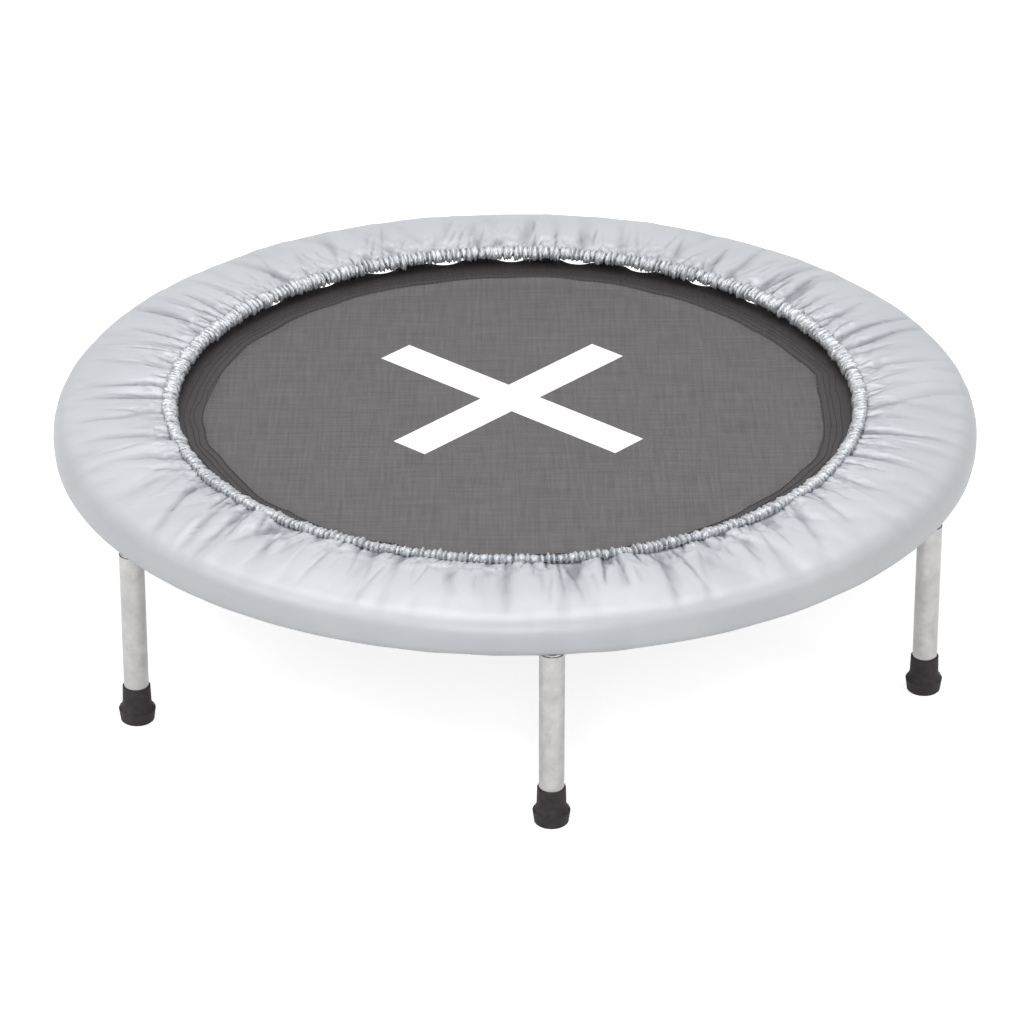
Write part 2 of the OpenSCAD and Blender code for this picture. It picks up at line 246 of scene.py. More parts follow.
@dataclass(frozen=True)
class GalvanisedSteel(Finish):
    """Zinc-plated drawn steel tube: pale warm metal, cloudy spangle and fine draw lines."""

    pale: str = "#b8b7b6"
    dark: str = "#9f9d9c"
    rough: float = 0.34
    spangle_mm: float = 5.0
    draw_mm: float = 1.2

    def look(self, tree: bpy.types.NodeTree) -> dict[str, Any]:
        """Spangled zinc whose gloss and tone follow the drawing direction.

        Args:
            tree: The material's node tree.

        Returns:
            Inputs of the Principled shader.
        """
        add = partial(add_node, tree)
        at = add("TexCoord", out="Object")
        spots = {"Vector": at, "Scale": per_mm(self.spangle_mm), "Randomness": 1.0}
        spangle = add("TexVoronoi", spots, "Color")
        patches = {"Vector": at, "Scale": per_mm(3 * self.spangle_mm), "Detail": 6.0}
        cloud = add("TexNoise", patches).outputs
        along = add("Mapping", {"Vector": at, "Scale": (1.0, 1.0, 0.03)}, "Vector")
        draw = add("TexNoise", {"Vector": along, "Scale": per_mm(self.draw_mm), "Detail": 2.0}, "Fac")
        mottle = add("Mix", {"Factor": 0.12, 6: cloud["Color"], 7: spangle}, 2, data_type="RGBA")
        level = add("MapRange", {"Value": mottle, "From Min": 0.3, "From Max": 0.7}, "Result")
        tones = {6: linear(self.dark), 7: linear(self.pale)}
        tone = add("Mix", {"Factor": level, **tones}, 2, data_type="RGBA")
        low, high = self.rough - 0.1, self.rough + 0.14
        gloss = add("MapRange", {"Value": cloud["Fac"], "To Min": low, "To Max": high}, "Result")
        bump = add("Bump", {"Height": draw, "Strength": 0.12, "Distance": 0.15 * MM}, "Normal")
        return {"Base Color": tone, "Roughness": gloss, "Metallic": 1.0, "Normal": bump}


@dataclass(frozen=True)
class PlatedWire(Finish):
    """Zinc-plated spring wire and bolts: even bright metal with faint clouding."""

    tone: str = "#c6c6c4"
    rough: float = 0.28
    cloud_mm: float = 5.0

    def look(self, tree: bpy.types.NodeTree) -> dict[str, Any]:
        """Plain bright zinc with a clouded gloss.

        Args:
            tree: The material's node tree.

        Returns:
            Inputs of the Principled shader.
        """
        add = partial(add_node, tree)
        at = add("TexCoord", out="Object")
        cloud = add("TexNoise", {"Vector": at, "Scale": per_mm(self.cloud_mm), "Detail": 4.0}, "Fac")
        low, high = self.rough - 0.08, self.rough + 0.16
        gloss = add("MapRange", {"Value": cloud, "To Min": low, "To Max": high}, "Result")
        return {"Base Color": linear(self.tone), "Roughness": gloss, "Metallic": 1.0}


@dataclass(frozen=True)
class MouldedRubber(Finish):
    """Moulded black rubber: a dull, slightly brown black with a fine stipple and dusty patches."""

    black: str = "#2b2728"
    dust_and_crease_shade: str = "#474142"
    rough: float = 0.66
    stipple_mm: float = 1.1
    dust_mm: float = 14.0

    def look(self, tree: bpy.types.NodeTree) -> dict[str, Any]:
        """Stippled rubber with uneven dust.

        Args:
            tree: The material's node tree.

        Returns:
            Inputs of the Principled shader.
        """
        add = partial(add_node, tree)
        at = add("TexCoord", out="Object")
        dust = add("TexNoise", {"Vector": at, "Scale": per_mm(self.dust_mm), "Detail": 5.0}, "Fac")
        level = add("MapRange", {"Value": dust, "From Min": 0.35, "From Max": 0.75}, "Result")
        tones = {6: linear(self.black), 7: linear(self.dust_and_crease_shade)}
        tone = add("Mix", {"Factor": level, **tones}, 2, data_type="RGBA")
        stipple = add("TexNoise", {"Vector": at, "Scale": per_mm(self.stipple_mm), "Detail": 3.0}, "Fac")
        bump = add("Bump", {"Height": stipple, "Strength": 0.25, "Distance": 0.25 * MM}, "Normal")
        low, high = self.rough - 0.1, self.rough + 0.2
        gloss = add("MapRange", {"Value": dust, "To Min": low, "To Max": high}, "Result")
        return {"Base Color": tone, "Roughness": gloss, "Specular IOR Level": 0.3, "Normal": bump}


@dataclass(frozen=True)
class WovenTape(Finish):
    """Woven polypropylene: flat tapes crossing over and under, duller where they dip.

    Single tapes differ a little in tone along their length, both ways across the cloth. The
    tapes are drawn somewhat wider than real ones, as fine as they still show in the render.
    """

    high: str = "#726e70"
    low: str = "#2a2628"
    rough: float = 0.5
    thread_mm: float = 1.7
    streak_mm: float = 3.4
    relief_mm: float = 0.35
    turn: float = 0.0

    def look(self, tree: bpy.types.NodeTree) -> dict[str, Any]:
        """Over-and-under squares with faint streaks along both threads.

        Args:
            tree: The material's node tree.

        Returns:
            Inputs of the Principled shader.
        """
        add = partial(add_node, tree)
        place = add("TexCoord", out="Object")
        spin = (0.0, 0.0, math.radians(self.turn))
        at = add("Mapping", {"Vector": place, "Rotation": spin}, "Vector")
        split = add("SeparateXYZ", {"Vector": at}).outputs
        turn = 2 * math.pi * per_mm(2 * self.thread_mm)
        waves = []
        for axis in ("X", "Y"):
            phase = add("Math", {0: split[axis], 1: turn}, 0, operation="MULTIPLY")
            waves.append(add("Math", {0: phase}, 0, operation="SINE"))
        cross = add("Math", {0: waves[0], 1: waves[1]}, 0, operation="MULTIPLY")
        weave = add("MapRange", {"Value": cross, "From Min": -0.8, "From Max": 0.8}, "Result")
        mixed = add("Math", {0: weave, 1: 0.55, 2: -0.3}, 0, operation="MULTIPLY_ADD")
        for stretch in ((1.0, 0.05, 1.0), (0.05, 1.0, 1.0)):
            along = add("Mapping", {"Vector": at, "Scale": stretch}, "Vector")
            lines = {"Vector": along, "Scale": per_mm(self.streak_mm), "Detail": 3.0}
            streak = add("TexNoise", lines, "Fac")
            mixed = add("Math", {0: streak, 1: 0.55, 2: mixed}, 0, operation="MULTIPLY_ADD")
        tones = {6: linear(self.low), 7: linear(self.high)}
        tone = add("Mix", {"Factor": mixed, **tones}, 2, data_type="RGBA")
        bump = add("Bump", {"Height": weave, "Strength": 0.5, "Distance": self.relief_mm * MM}, "Normal")
        return {"Base Color": tone, "Roughness": self.rough, "Specular IOR Level": 0.35, "Normal": bump}


@dataclass(frozen=True)
class TwistedThread(Finish):
    """Bonded sewing thread: matt, with a fine twist that only breaks its gloss."""

    tone: str = "#242122"
    twist_mm: float = 0.9

    def look(self, tree: bpy.types.NodeTree) -> dict[str, Any]:
        """Matt thread with twist relief.

        Args:
            tree: The material's node tree.

        Returns:
            Inputs of the Principled shader.
        """
        add = partial(add_node, tree)
        at = add("TexCoord", out="Object")
        twist = add("TexNoise", {"Vector": at, "Scale": per_mm(self.twist_mm), "Detail": 1.0}, "Fac")
        bump = add("Bump", {"Height": twist, "Strength": 0.4, "Distance": 0.2 * MM}, "Normal")
        return {"Base Color": linear(self.tone), "Roughness": 0.7, "Normal": bump}


@dataclass(frozen=True)
class CellFoam(Finish):
    """Closed-cell polyethylene foam: off-white, faintly glossy skin over visible cells."""

    tone: str = "#e6e6e2"
    shade: str = "#cfd0cc"
    cell_mm: float = 3.0

    def look(self, tree: bpy.types.NodeTree) -> dict[str, Any]:
        """Cells in relief and in tone.

        Args:
            tree: The material's node tree.

        Returns:
            Inputs of the Principled shader.
        """
        add = partial(add_node, tree)
        at = add("TexCoord", out="Object")
        cell = add("TexVoronoi", {"Vector": at, "Scale": per_mm(self.cell_mm)}, "Distance")
        tones = {6: linear(self.tone), 7: linear(self.shade)}
        tone = add("Mix", {"Factor": cell, **tones}, 2, data_type="RGBA")
        bump = add("Bump", {"Height": cell, "Strength": 0.4, "Distance": 0.4 * MM}, "Normal", invert=True)
        return {"Base Color": tone, "Roughness": 0.6, "Normal": bump}


@dataclass(frozen=True)
class StudioPaper(Finish):
    """White studio paper: plain white to the camera and in reflections, with a soft shadow."""

    glow: float = 0.8
    paper: str = "#cccccc"

    def look(self, tree: bpy.types.NodeTree) -> dict[str, Any]:
        """Paper that glows only to camera, glossy and transmission rays.

        Args:
            tree: The material's node tree.

        Returns:
            Inputs of the Principled shader.
        """
        return {
            "Base Color": linear(self.paper),
            "Roughness": 1.0,
            "Specular IOR Level": 0.0,
            "Emission Color": WHITE,
            "Emission Strength": add_node(
                tree, "Math", {0: seen_rays(tree), 1: self.glow}, 0, operation="MULTIPLY"
            ),
        }


COVER_CLOTH = CoatedCloth("silver_coated_cover_cloth")
GATHERED_CLOTH = CoatedCloth(
    "silver_coated_gathered_cloth",
    pale="#d0d2d5",
    dark="#b2b5ba",
    # creased is painted shade in the pleats' valleys.
    creased="#777b82",
    rough=0.3,
    metal=0.45,
    crinkle_mm=5.0,
    crinkle=0.8,
)
TUBE_STEEL = GalvanisedSteel("galvanised_tube_steel")
BUSH_STEEL = GalvanisedSteel("turned_zinc_bush_steel", pale="#c9c7c4", dark="#8f8d8b", spangle_mm=4.0)
SPRING_STEEL = PlatedWire("zinc_plated_spring_wire")
BOLT_STEEL = PlatedWire("zinc_plated_bolt_steel", tone="#b5b4b1", rough=0.34, cloud_mm=8.0)
FOOT_RUBBER = MouldedRubber("moulded_foot_rubber")
BED_WEAVE = WovenTape("woven_polypropylene_bed", turn=4.0)
HEM_WEAVE = WovenTape("woven_polypropylene_hem", high="#403b3c", low="#1f1b1c", turn=4.0)
STRAP_WEAVE = WovenTape("woven_nylon_webbing", high="#343031", low="#1c191a", thread_mm=1.8)
CROSS_PRINT = WovenTape(
    "white_printed_weave", high="#ffffff", low="#fafaf9", rough=0.55, relief_mm=0.15, turn=4.0
)
HEM_THREAD = TwistedThread("black_bonded_thread")
COVER_THREAD = TwistedThread("grey_bonded_thread", tone="#a9adb2")
PAD_FOAM = CellFoam("closed_cell_pad_foam")
ELASTIC_BRAID = WovenTape("braided_elastic", high="#f0eeea", low="#d2cfca", thread_mm=0.9)
STUDIO_PAPER = StudioPaper("white_studio_paper")


def placed(name: str, data: bpy.types.ID) -> bpy.types.Object:
    """Make an object at the origin and link it to the scene.

    Args:
        name: Name of the object.
        data: Its mesh, lamp or camera.

    Returns:
        The object.
    """
    made = bpy.data.objects.new(name, data)
    bpy.context.scene.collection.objects.link(made)
    return made


def around(count: int) -> np.ndarray:
    """Even angles once round the ring, in radians."""
    return np.linspace(0, 2 * math.pi, count, endpoint=False)


def new_piece(
    name: str,
    points: np.ndarray,
    faces: list[tuple[int, ...]] | np.ndarray,
    finishes: list[Finish],
    slots: np.ndarray | None = None,
) -> bpy.types.Object:
    """Make a smooth mesh object at the origin from points in millimetres.

    Args:
        name: Name of the piece.
        points: N by 3 array of points, in millimetres.
        faces: Corner numbers of each face.
        finishes: The piece's materials in slot order.
        slots: Material slot of each face, or None where all take the first.

    Returns:
        The new object, linked to the scene.
    """
    mesh = bpy.data.meshes.new(name)
    mesh.from_pydata((points * MM).tolist(), [], [tuple(f) for f in faces])
    for finish in finishes:
        mesh.materials.append(finish.make())
    if slots is not None:
        mesh.polygons.foreach_set("material_index", slots.astype(np.int32))
    mesh.polygons.foreach_set("use_smooth", np.ones(len(mesh.polygons), dtype=bool))
    mesh.validate()
    mesh.update()
    return placed(name, mesh)


def mesh_points(mesh: bpy.types.Mesh) -> np.ndarray:
    """Read the points of a mesh.

    Args:
        mesh: The mesh.

    Returns:
        N by 3 array in millimetres.
    """
    found = np.empty(3 * len(mesh.vertices))
    mesh.vertices.foreach_get("co", found)
    return found.reshape(-1, 3) / MM


def mark_creases(piece: bpy.types.Object, amount: np.ndarray) -> None:
    """Store how creased each point of a cloth is; its material darkens these points as painted shade.

    Args:
        piece: The cloth.
        amount: One value for each point, from 0 to 1.
    """
    marks = piece.data.attributes.new(CREASE_ATTRIBUTE, "FLOAT", "POINT")
    marks.data.foreach_set("value", np.ascontiguousarray(amount, dtype=np.float32))


def ring_grid(columns: int, rows: int, closed_rows: bool, side: Side) -> np.ndarray:
    """Quads of a grid whose columns run once round a ring.

    Args:
        columns: Number of sections round the ring.
        rows: Points in one section.
        closed_rows: Whether a section's last point joins its first.
        side: Which way the faces look.

    Returns:
        Array of four corner numbers for each face, for points stored section by section.
    """
    j, k = np.meshgrid(np.arange(columns), np.arange(rows if closed_rows else rows - 1), indexing="ij")
    after, beside = (j + 1) % columns, (k + 1) % rows
    quad = np.stack([j * rows + k, after * rows + k, after * rows + beside, j * rows + beside], axis=-1)
    quad = quad.reshape(-1, 4)
    return quad if side is Side.OUTWARD else quad[:, ::-1]


def swung(radius: np.ndarray, height: np.ndarray, angle: np.ndarray) -> np.ndarray:
    """Points at radius, height and angle in radians, flattened to N by 3."""
    return np.stack([radius * np.cos(angle), radius * np.sin(angle), height], axis=-1).reshape(-1, 3)


def smooth_section(points: list[tuple[float, float]], step: float) -> np.ndarray:
    """Round off a section's corners with a Catmull-Rom curve and space its points evenly.

    Args:
        points: Radius and height of each guide point.
        step: Distance between the points of the result, in millimetres.

    Returns:
        M by 2 array of radius and height.
    """
    guide = np.array([points[0], *points, points[-1]], dtype=float)
    parts = []
    for i in range(1, len(guide) - 2):
        t = np.linspace(0, 1, 24, endpoint=False)[:, None]
        a, b, c, d = guide[i - 1 : i + 3]
        square = (2 * a - 5 * b + 4 * c - d) * t**2
        cube = (3 * b - a - 3 * c + d) * t**3
        parts.append(0.5 * (2 * b + (c - a) * t + square + cube))
    curve = np.vstack([*parts, guide[-1]])
    run = np.concatenate([[0], np.cumsum(np.linalg.norm(np.diff(curve, axis=0), axis=1))])
    spaced = np.linspace(0, run[-1], max(4, round(run[-1] / step)))
    return np.stack([np.interp(spaced, run, curve[:, i]) for i in (0, 1)], axis=1)


def ring_noise(
    angle: np.ndarray, rng: np.random.Generator, lobes: tuple[int, int], count: int
) -> np.ndarray:
    """Smooth random wave round the ring, about -1 to 1.

    Args:
        angle: Angles in radians.
        rng: Seeded source of random numbers.
        lobes: Fewest and most waves round the ring.
        count: Number of waves that are added up.

    Returns:
        One value for each angle.
    """
    total = np.zeros_like(angle)
    for _ in range(count):
        total += np.sin(rng.integers(*lobes) * angle + rng.uniform(0, 2 * math.pi))
    return total / math.sqrt(count)


class GeometryTree:
    """A Geometry Nodes tree with named inputs that is run once and left as a plain mesh."""

    def __init__(self, name: str, inputs: dict[str, tuple[str, float]]) -> None:
        """Start an empty tree with one output and its inputs.

        Args:
            name: Name of the tree.
            inputs: Input name to its socket type and default value.
        """
        self.tree = bpy.data.node_groups.new(name, "GeometryNodeTree")
        self.add = partial(add_node, self.tree)
        face = self.tree.interface
        face.new_socket("Geometry", in_out="INPUT", socket_type="NodeSocketGeometry")
        face.new_socket("Geometry", in_out="OUTPUT", socket_type="NodeSocketGeometry")
        for label, (kind, value) in inputs.items():
            socket = face.new_socket(label, in_out="INPUT", socket_type=kind)
            socket.default_value = value
        self.given = self.add("NodeGroupInput").outputs

    def end(self, geometry: bpy.types.NodeSocket, finish: Finish) -> None:
        """Realize the instances, set the material and close the tree.

        Args:
            geometry: Output socket of the finished geometry.
            finish: The finish of all its faces.
        """
        real = self.add("GeometryNodeRealizeInstances", {"Geometry": geometry}, "Geometry")
        smooth = self.add("GeometryNodeSetShadeSmooth", {"Geometry": real}, "Geometry")
        dressed = {"Geometry": smooth, "Material": finish.make()}
        done = self.add("GeometryNodeSetMaterial", dressed, "Geometry")
        self.add("NodeGroupOutput", {"Geometry": done})

    def run(self, name: str, guide: bpy.types.Object, values: dict[str, float]) -> bpy.types.Object:
        """Run the tree on a guide object and keep the result as a mesh piece.

        Args:
            name: Name of the new piece.
            guide: Object that the tree reads; it is deleted afterwards.
            values: Value of each named input.

        Returns:
            The new piece.
        """
        worker = guide.modifiers.new(self.tree.name, "NODES")
        worker.node_group = self.tree
        for item in self.tree.interface.items_tree:
            if item.item_type == "SOCKET" and item.in_out == "INPUT" and item.name in values:
                worker[item.identifier] = values[item.name]
        ready = guide.evaluated_get(bpy.context.evaluated_depsgraph_get())
        mesh = bpy.data.meshes.new_from_object(ready)
        mesh.name = name
        bpy.data.objects.remove(guide, do_unlink=True)
        return placed(name, mesh)


def guide_line(name: str, points: np.ndarray, closed: bool) -> bpy.types.Object:
    """Make an edge-only mesh that a Geometry Nodes tree follows.

    Args:
        name: Name of the guide.
        points: N by 3 points in millimetres.
        closed: Whether the last point joins the first.

    Returns:
        The guide object.
    """
    count = len(points)
    edges = [(i, (i + 1) % count) for i in range(count if closed else count - 1)]
    mesh = bpy.data.meshes.new(name)
    mesh.from_pydata((points * MM).tolist(), edges, [])
    return placed(name, mesh)


def wire_tree(finish: Finish, sides: int) -> GeometryTree:
    """Tree that sweeps round wire along its guide; its input is the wire's diameter in metres.

    Args:
        finish: The wire's finish.
        sides: Sides of the wire's section.

    Returns:
        The tree.
    """
    made = GeometryTree(f"round_wire_{finish.name}", {"Wire": ("NodeSocketFloat", 0.002)})
    path = made.add("GeometryNodeMeshToCurve", {"Mesh": made.given["Geometry"]}, "Curve")
    half = made.add("Math", {0: made.given["Wire"], 1: 0.5}, 0, operation="MULTIPLY")
    section = made.add("GeometryNodeCurvePrimitiveCircle", {"Resolution": sides, "Radius": half}, "Curve")
    sweep = {"Curve": path, "Profile Curve": section, "Fill Caps": True}
    made.end(made.add("GeometryNodeCurveToMesh", sweep, "Mesh"), finish)
    return made


def stitch_tree(finish: Finish) -> GeometryTree:
    """Tree that lays separate thread stitches along its guide.

    Args:
        finish: The thread's finish.

    Returns:
        The tree, whose inputs are stitch pitch, stitch length and thread diameter in metres.
    """
    made = GeometryTree(
        f"stitches_{finish.name}",
        {
            "Pitch": ("NodeSocketFloat", 0.004),
            "Length": ("NodeSocketFloat", 0.003),
            "Thread": ("NodeSocketFloat", 0.0008),
        },
    )
    path = made.add("GeometryNodeMeshToCurve", {"Mesh": made.given["Geometry"]}, "Curve")
    steps = {"Curve": path, "Length": made.given["Pitch"]}
    spots = made.add("GeometryNodeCurveToPoints", steps, mode="LENGTH").outputs
    half = made.add("Math", {0: made.given["Thread"], 1: 0.5}, 0, operation="MULTIPLY")
    reach = made.add("Math", {0: made.given["Length"], 1: 0.5}, 0, operation="MULTIPLY")
    bead = made.add("GeometryNodeMeshUVSphere", {"Segments": 6, "Rings": 4, "Radius": 1.0}, "Mesh")
    shape = made.add("CombineXYZ", {"X": half, "Y": half, "Z": reach}, "Vector")
    laid = made.add(
        "GeometryNodeInstanceOnPoints",
        {"Points": spots["Points"], "Instance": bead, "Rotation": spots["Rotation"], "Scale": shape},
        "Instances",
    )
    made.end(laid, finish)
    return made


def dress_node(name: str, finish: Finish) -> None:
    """Give a CAD node's own mesh its finish.

    Args:
        name: The node's name.
        finish: Its finish.
    """
    slots = bpy.data.objects[name].data.materials
    slots.clear()
    slots.append(finish.make())
    LOG.info("finished CAD node %s as %s", name, finish.name)


@dataclass
class LegSet:
    """Steel ring, threaded bushes, legs, bolts and rubber feet, whose CAD meshes are kept."""

    count: int = 6

    def dress(self) -> None:
        """Give every rigid node its finish."""
        dress_node("frame_ring", TUBE_STEEL)
        dress_node("leg_bushes", BUSH_STEEL)
        for i in range(1, self.count + 1):
            dress_node(f"leg_{i}", TUBE_STEEL)
            dress_node(f"leg_bolt_{i}", BOLT_STEEL)
            dress_node(f"foot_{i}", FOOT_RUBBER)


@dataclass
class SpringSuspension:
    """Extension springs that hang the bed in the ring, each hooked round a V-ring."""

    count: int = 32
    turn: float = -360 / 32 / 3
    wire: float = 2.2
    coil_d: float = 12.8
    body_len: float = 52.0
    hook_r: float = 461.58
    lead: float = 5.5
    axis_z: float = 220.35
    tip_angle: float = -98.96
    hook_sweep: float = 165.0
    coils: int = 22
    points_per_turn: int = 16
    sides: int = 6

    @property
    def body_out(self) -> float:
        """Radius of the outer end of the wound body."""
        return self.hook_r - self.lead

    @property
    def body_in(self) -> float:
        """Radius of the inner end of the wound body."""
        return self.body_out - self.body_len

    def angle(self, number: float) -> float:
        """Direction of a spring in degrees; halves lie between two springs."""
        return -90 + self.turn + (number - 0.5) * 360 / self.count

    def wire_line(self) -> np.ndarray:
        """Draw the centre line of one spring along +X: hook, lead, coils, lead, hook.

        Returns:
            N by 3 points in millimetres.
        """
        coil_r = self.coil_d / 2
        catch_r = self.body_in - self.lead

        def arc(centre: float, start: float, end: float) -> np.ndarray:
            """Points of a hook about (centre, axis_z) from one angle to another, in degrees."""
            a = np.radians(np.linspace(start, end, 14))
            return np.stack(
                [centre + coil_r * np.cos(a), np.zeros_like(a), self.axis_z + coil_r * np.sin(a)], axis=1
            )

        t = np.linspace(0, self.coils, self.coils * self.points_per_turn + 1)
        spin = 2 * math.pi * t
        helix = np.stack(
            [
                self.body_out - self.body_len * t / self.coils,
                coil_r * np.sin(spin),
                self.axis_z + coil_r * np.cos(spin),
            ],
            axis=1,
        )
        catch = arc(catch_r, 90, 90 + self.hook_sweep)
        return np.vstack([arc(self.hook_r, self.tip_angle, 90), helix, catch])

    def build(self) -> None:
        """Wind every spring, replace its CAD barrel and stretch it between ring and bed."""
        tree = wire_tree(SPRING_STEEL, self.sides)
        line = self.wire_line()
        for number in range(1, self.count + 1):
            a = math.radians(self.angle(number))
            c, s = math.cos(a), math.sin(a)
            turned = line @ np.array([[c, s, 0], [-s, c, 0], [0, 0, 1]])
            name = f"spring_{number:02d}"
            guide = guide_line(f"{name}_line", turned, False)
            piece = tree.run(f"wound_{name}", guide, {"Wire": self.wire * MM})
            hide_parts(name)
            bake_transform(piece)
        LOG.info("wound %d springs", self.count)


@dataclass
class JumpingBed:
    """Woven bed with a doubled, wavy hem, scalloped edge, webbing tabs and a plain cross."""

    springs: SpringSuspension
    low: float = 219.75
    top: float = 220.95
    hem_rise: float = 1.0
    tab_r: float = 375.9
    scallop_h: float = 8.5
    scallop_w: float = 35.0
    hem_in: float = 326.5
    hem_wave: float = 1.9
    hem_fray: float = 0.35
    hem_corners: int = 27
    columns: int = 32 * 24
    row_offsets: tuple[float, ...] = (1.6, 8.5, 14.0, 20.5)
    row_wave: float = 0.8
    stitch_pitch: float = 5.0
    stitch_len: float = 4.2
    thread: float = 1.0
    bar_r: float = 379.0
    ring_wire: float = 3.0
    web_w: float = 23.0
    web_t: float = 1.0
    web_len: float = 30.0
    web_lap: float = 9.0
    web_gap: float = 0.3
    cross_lens: tuple[float, float] = (312.0, 333.0)
    cross_w: float = 44.0
    cross_turn: float = -1.5
    cross_at: tuple[float, float] = (-3.0, 29.0)
    cross_lift: float = 0.15
    cross_t: float = 0.3

    def edge(self, angle: np.ndarray) -> np.ndarray:
        """Find the bed's scalloped edge.

        Args:
            angle: Angles in radians.

        Returns:
            Radius at each angle, in millimetres.
        """
        pitch = 2 * math.pi / self.springs.count
        middle = math.radians(self.springs.angle(1.5))
        off = (angle - middle + pitch / 2) % pitch - pitch / 2
        bite = (self.scallop_w**2 / 4 + self.scallop_h**2) / (2 * self.scallop_h)
        centre = self.tab_r - self.scallop_h + bite
        across = np.clip(bite**2 - (centre * np.sin(off)) ** 2, 0, None)
        cut = centre * np.cos(off) - np.sqrt(across)
        inside = np.abs(centre * np.sin(off)) < bite
        return np.where(inside, np.minimum(self.tab_r, cut), self.tab_r)

    def hem_edge(self, angle: np.ndarray) -> np.ndarray:
        """Find the hem's inner edge, which is cut in short straight runs.

        Args:
            angle: Angles in radians.

        Returns:
            Radius at each angle, in millimetres.
        """
        rng = np.random.default_rng(SEED)
        pitch = 2 * math.pi / self.hem_corners
        spots = (np.arange(self.hem_corners) + rng.uniform(-0.35, 0.35, self.hem_corners)) * pitch
        radii = self.hem_in + self.hem_wave * rng.normal(0, 1, self.hem_corners)
        turned = angle % (2 * math.pi)
        cord = np.interp(turned, spots, radii, period=2 * math.pi)
        apart = (turned[:, None] - spots[None, :] + math.pi) % (2 * math.pi) - math.pi
        to_corner = np.min(np.abs(apart), axis=1)
        sag = self.hem_in * (pitch / 2) ** 2 / 2
        frayed = self.hem_fray * ring_noise(angle, rng, (120, 420), 8)
        return cord - sag * np.clip(to_corner / (pitch / 2), 0, 1) ** 2 + frayed

    def build_sheet(self) -> bpy.types.Object:
        """Make the bed's closed thin sheet with its raised hem.

        Returns:
            The bed's sheet.
        """
        angle = around(self.columns)
        hem, edge = self.hem_edge(angle), self.edge(angle)
        flat_rows = np.concatenate([[0.02], np.linspace(0.1, 1.0, 14)])
        hem_top = self.top + self.hem_rise
        rows: list[tuple[np.ndarray, float]] = [(hem * s, self.top) for s in flat_rows]
        rows += [(hem + 0.25, self.top + 0.75 * self.hem_rise), (hem + 0.9, hem_top)]
        rows += [(hem + 0.9 + (edge - hem - 1.5) * s, hem_top) for s in (0.25, 0.5, 0.75, 0.9, 1.0)]
        rows += [(edge, hem_top - 0.5), (edge, self.low + 0.4), (edge - 0.5, self.low)]
        rows += [(edge * s, self.low) for s in (0.9, 0.6, 0.3, 0.02)]
        radius = np.stack([r for r, _ in rows], axis=1)
        height = np.stack([np.full_like(angle, z) for _, z in rows], axis=1)
        count = len(rows)
        points = swung(radius, height, angle[:, None])
        quads = ring_grid(self.columns, count, False, Side.INWARD)
        row = np.arange(len(quads)) % (count - 1)
        in_hem = (row >= len(flat_rows) - 1) & (row < count - 6)
        start = np.arange(self.columns) * count
        faces = [tuple(q) for q in quads] + [tuple(start), tuple(start[::-1] + count - 1)]
        slots = np.concatenate([in_hem.astype(int), [0, 0]])
        return new_piece("woven_bed", points, faces, [BED_WEAVE, HEM_WEAVE], slots)

    def build_stitches(self) -> bpy.types.Object:
        """Sew the hem down in wavy rows of separate stitches.

        Returns:
            The stitches as one piece.
        """
        rng = np.random.default_rng(SEED + 1)
        tree = stitch_tree(HEM_THREAD)
        angle = around(720)
        sizes = {"Pitch": self.stitch_pitch, "Length": self.stitch_len, "Thread": self.thread}
        in_metres = {name: size * MM for name, size in sizes.items()}
        rows = []
        for number, offset in enumerate(self.row_offsets):
            wander = self.row_wave * ring_noise(angle, rng, (6, 34), 5)
            radius = self.hem_edge(angle) + offset + wander
            line = swung(radius, np.full_like(angle, self.top + self.hem_rise + 0.1), angle)
            guide = guide_line(f"hem_line_{number}", line, True)
            rows.append(tree.run(f"hem_row_{number}", guide, in_metres))
        return joined("hem_stitches", rows)

    def build_webbing(self) -> bpy.types.Object:
        """Fold a strap round the bar of each V-ring and lay its ends on the bed.

        Returns:
            All straps as one piece.
        """
        inner = self.ring_wire / 2 + self.web_gap
        outer = inner + self.web_t
        z = self.springs.axis_z
        over = self.top + self.hem_rise - z
        under = self.low - z
        turn = np.radians(np.linspace(90, -90, 13))
        out_line = [(-self.web_lap, over + self.web_t)]
        out_line += [(outer * math.cos(t), outer * math.sin(t)) for t in turn]
        out_line += [(-self.web_len, under - self.web_t)]
        in_line = [(-self.web_len, under)]
        in_line += [(inner * math.cos(t), inner * math.sin(t)) for t in turn[::-1]]
        in_line += [(-self.web_lap, over)]
        section = np.array(out_line + in_line)
        across = np.linspace(-0.5, 0.5, 5) * self.web_w
        count = len(section)
        points = np.concatenate(
            [
                np.stack([self.bar_r + section[:, 0], np.full(count, y), z + section[:, 1]], axis=1)
                for y in across
            ]
        )
        faces = []
        for j in range(len(across) - 1):
            for k in range(count):
                a, b = j * count + k, j * count + (k + 1) % count
                faces.append((a, b, b + count, a + count))
        half = count // 2
        for j, flip in ((0, True), (len(across) - 1, False)):
            for k in range(half - 1):
                a, b = j * count + k, (j + 1) * count - 1 - k
                quad = (a, a + 1, b - 1, b)
                faces.append(quad[::-1] if flip else quad)
        strap = new_piece("strap", points, faces, [STRAP_WEAVE])
        return self.repeated("webbing_straps", strap, STRAP_WEAVE)

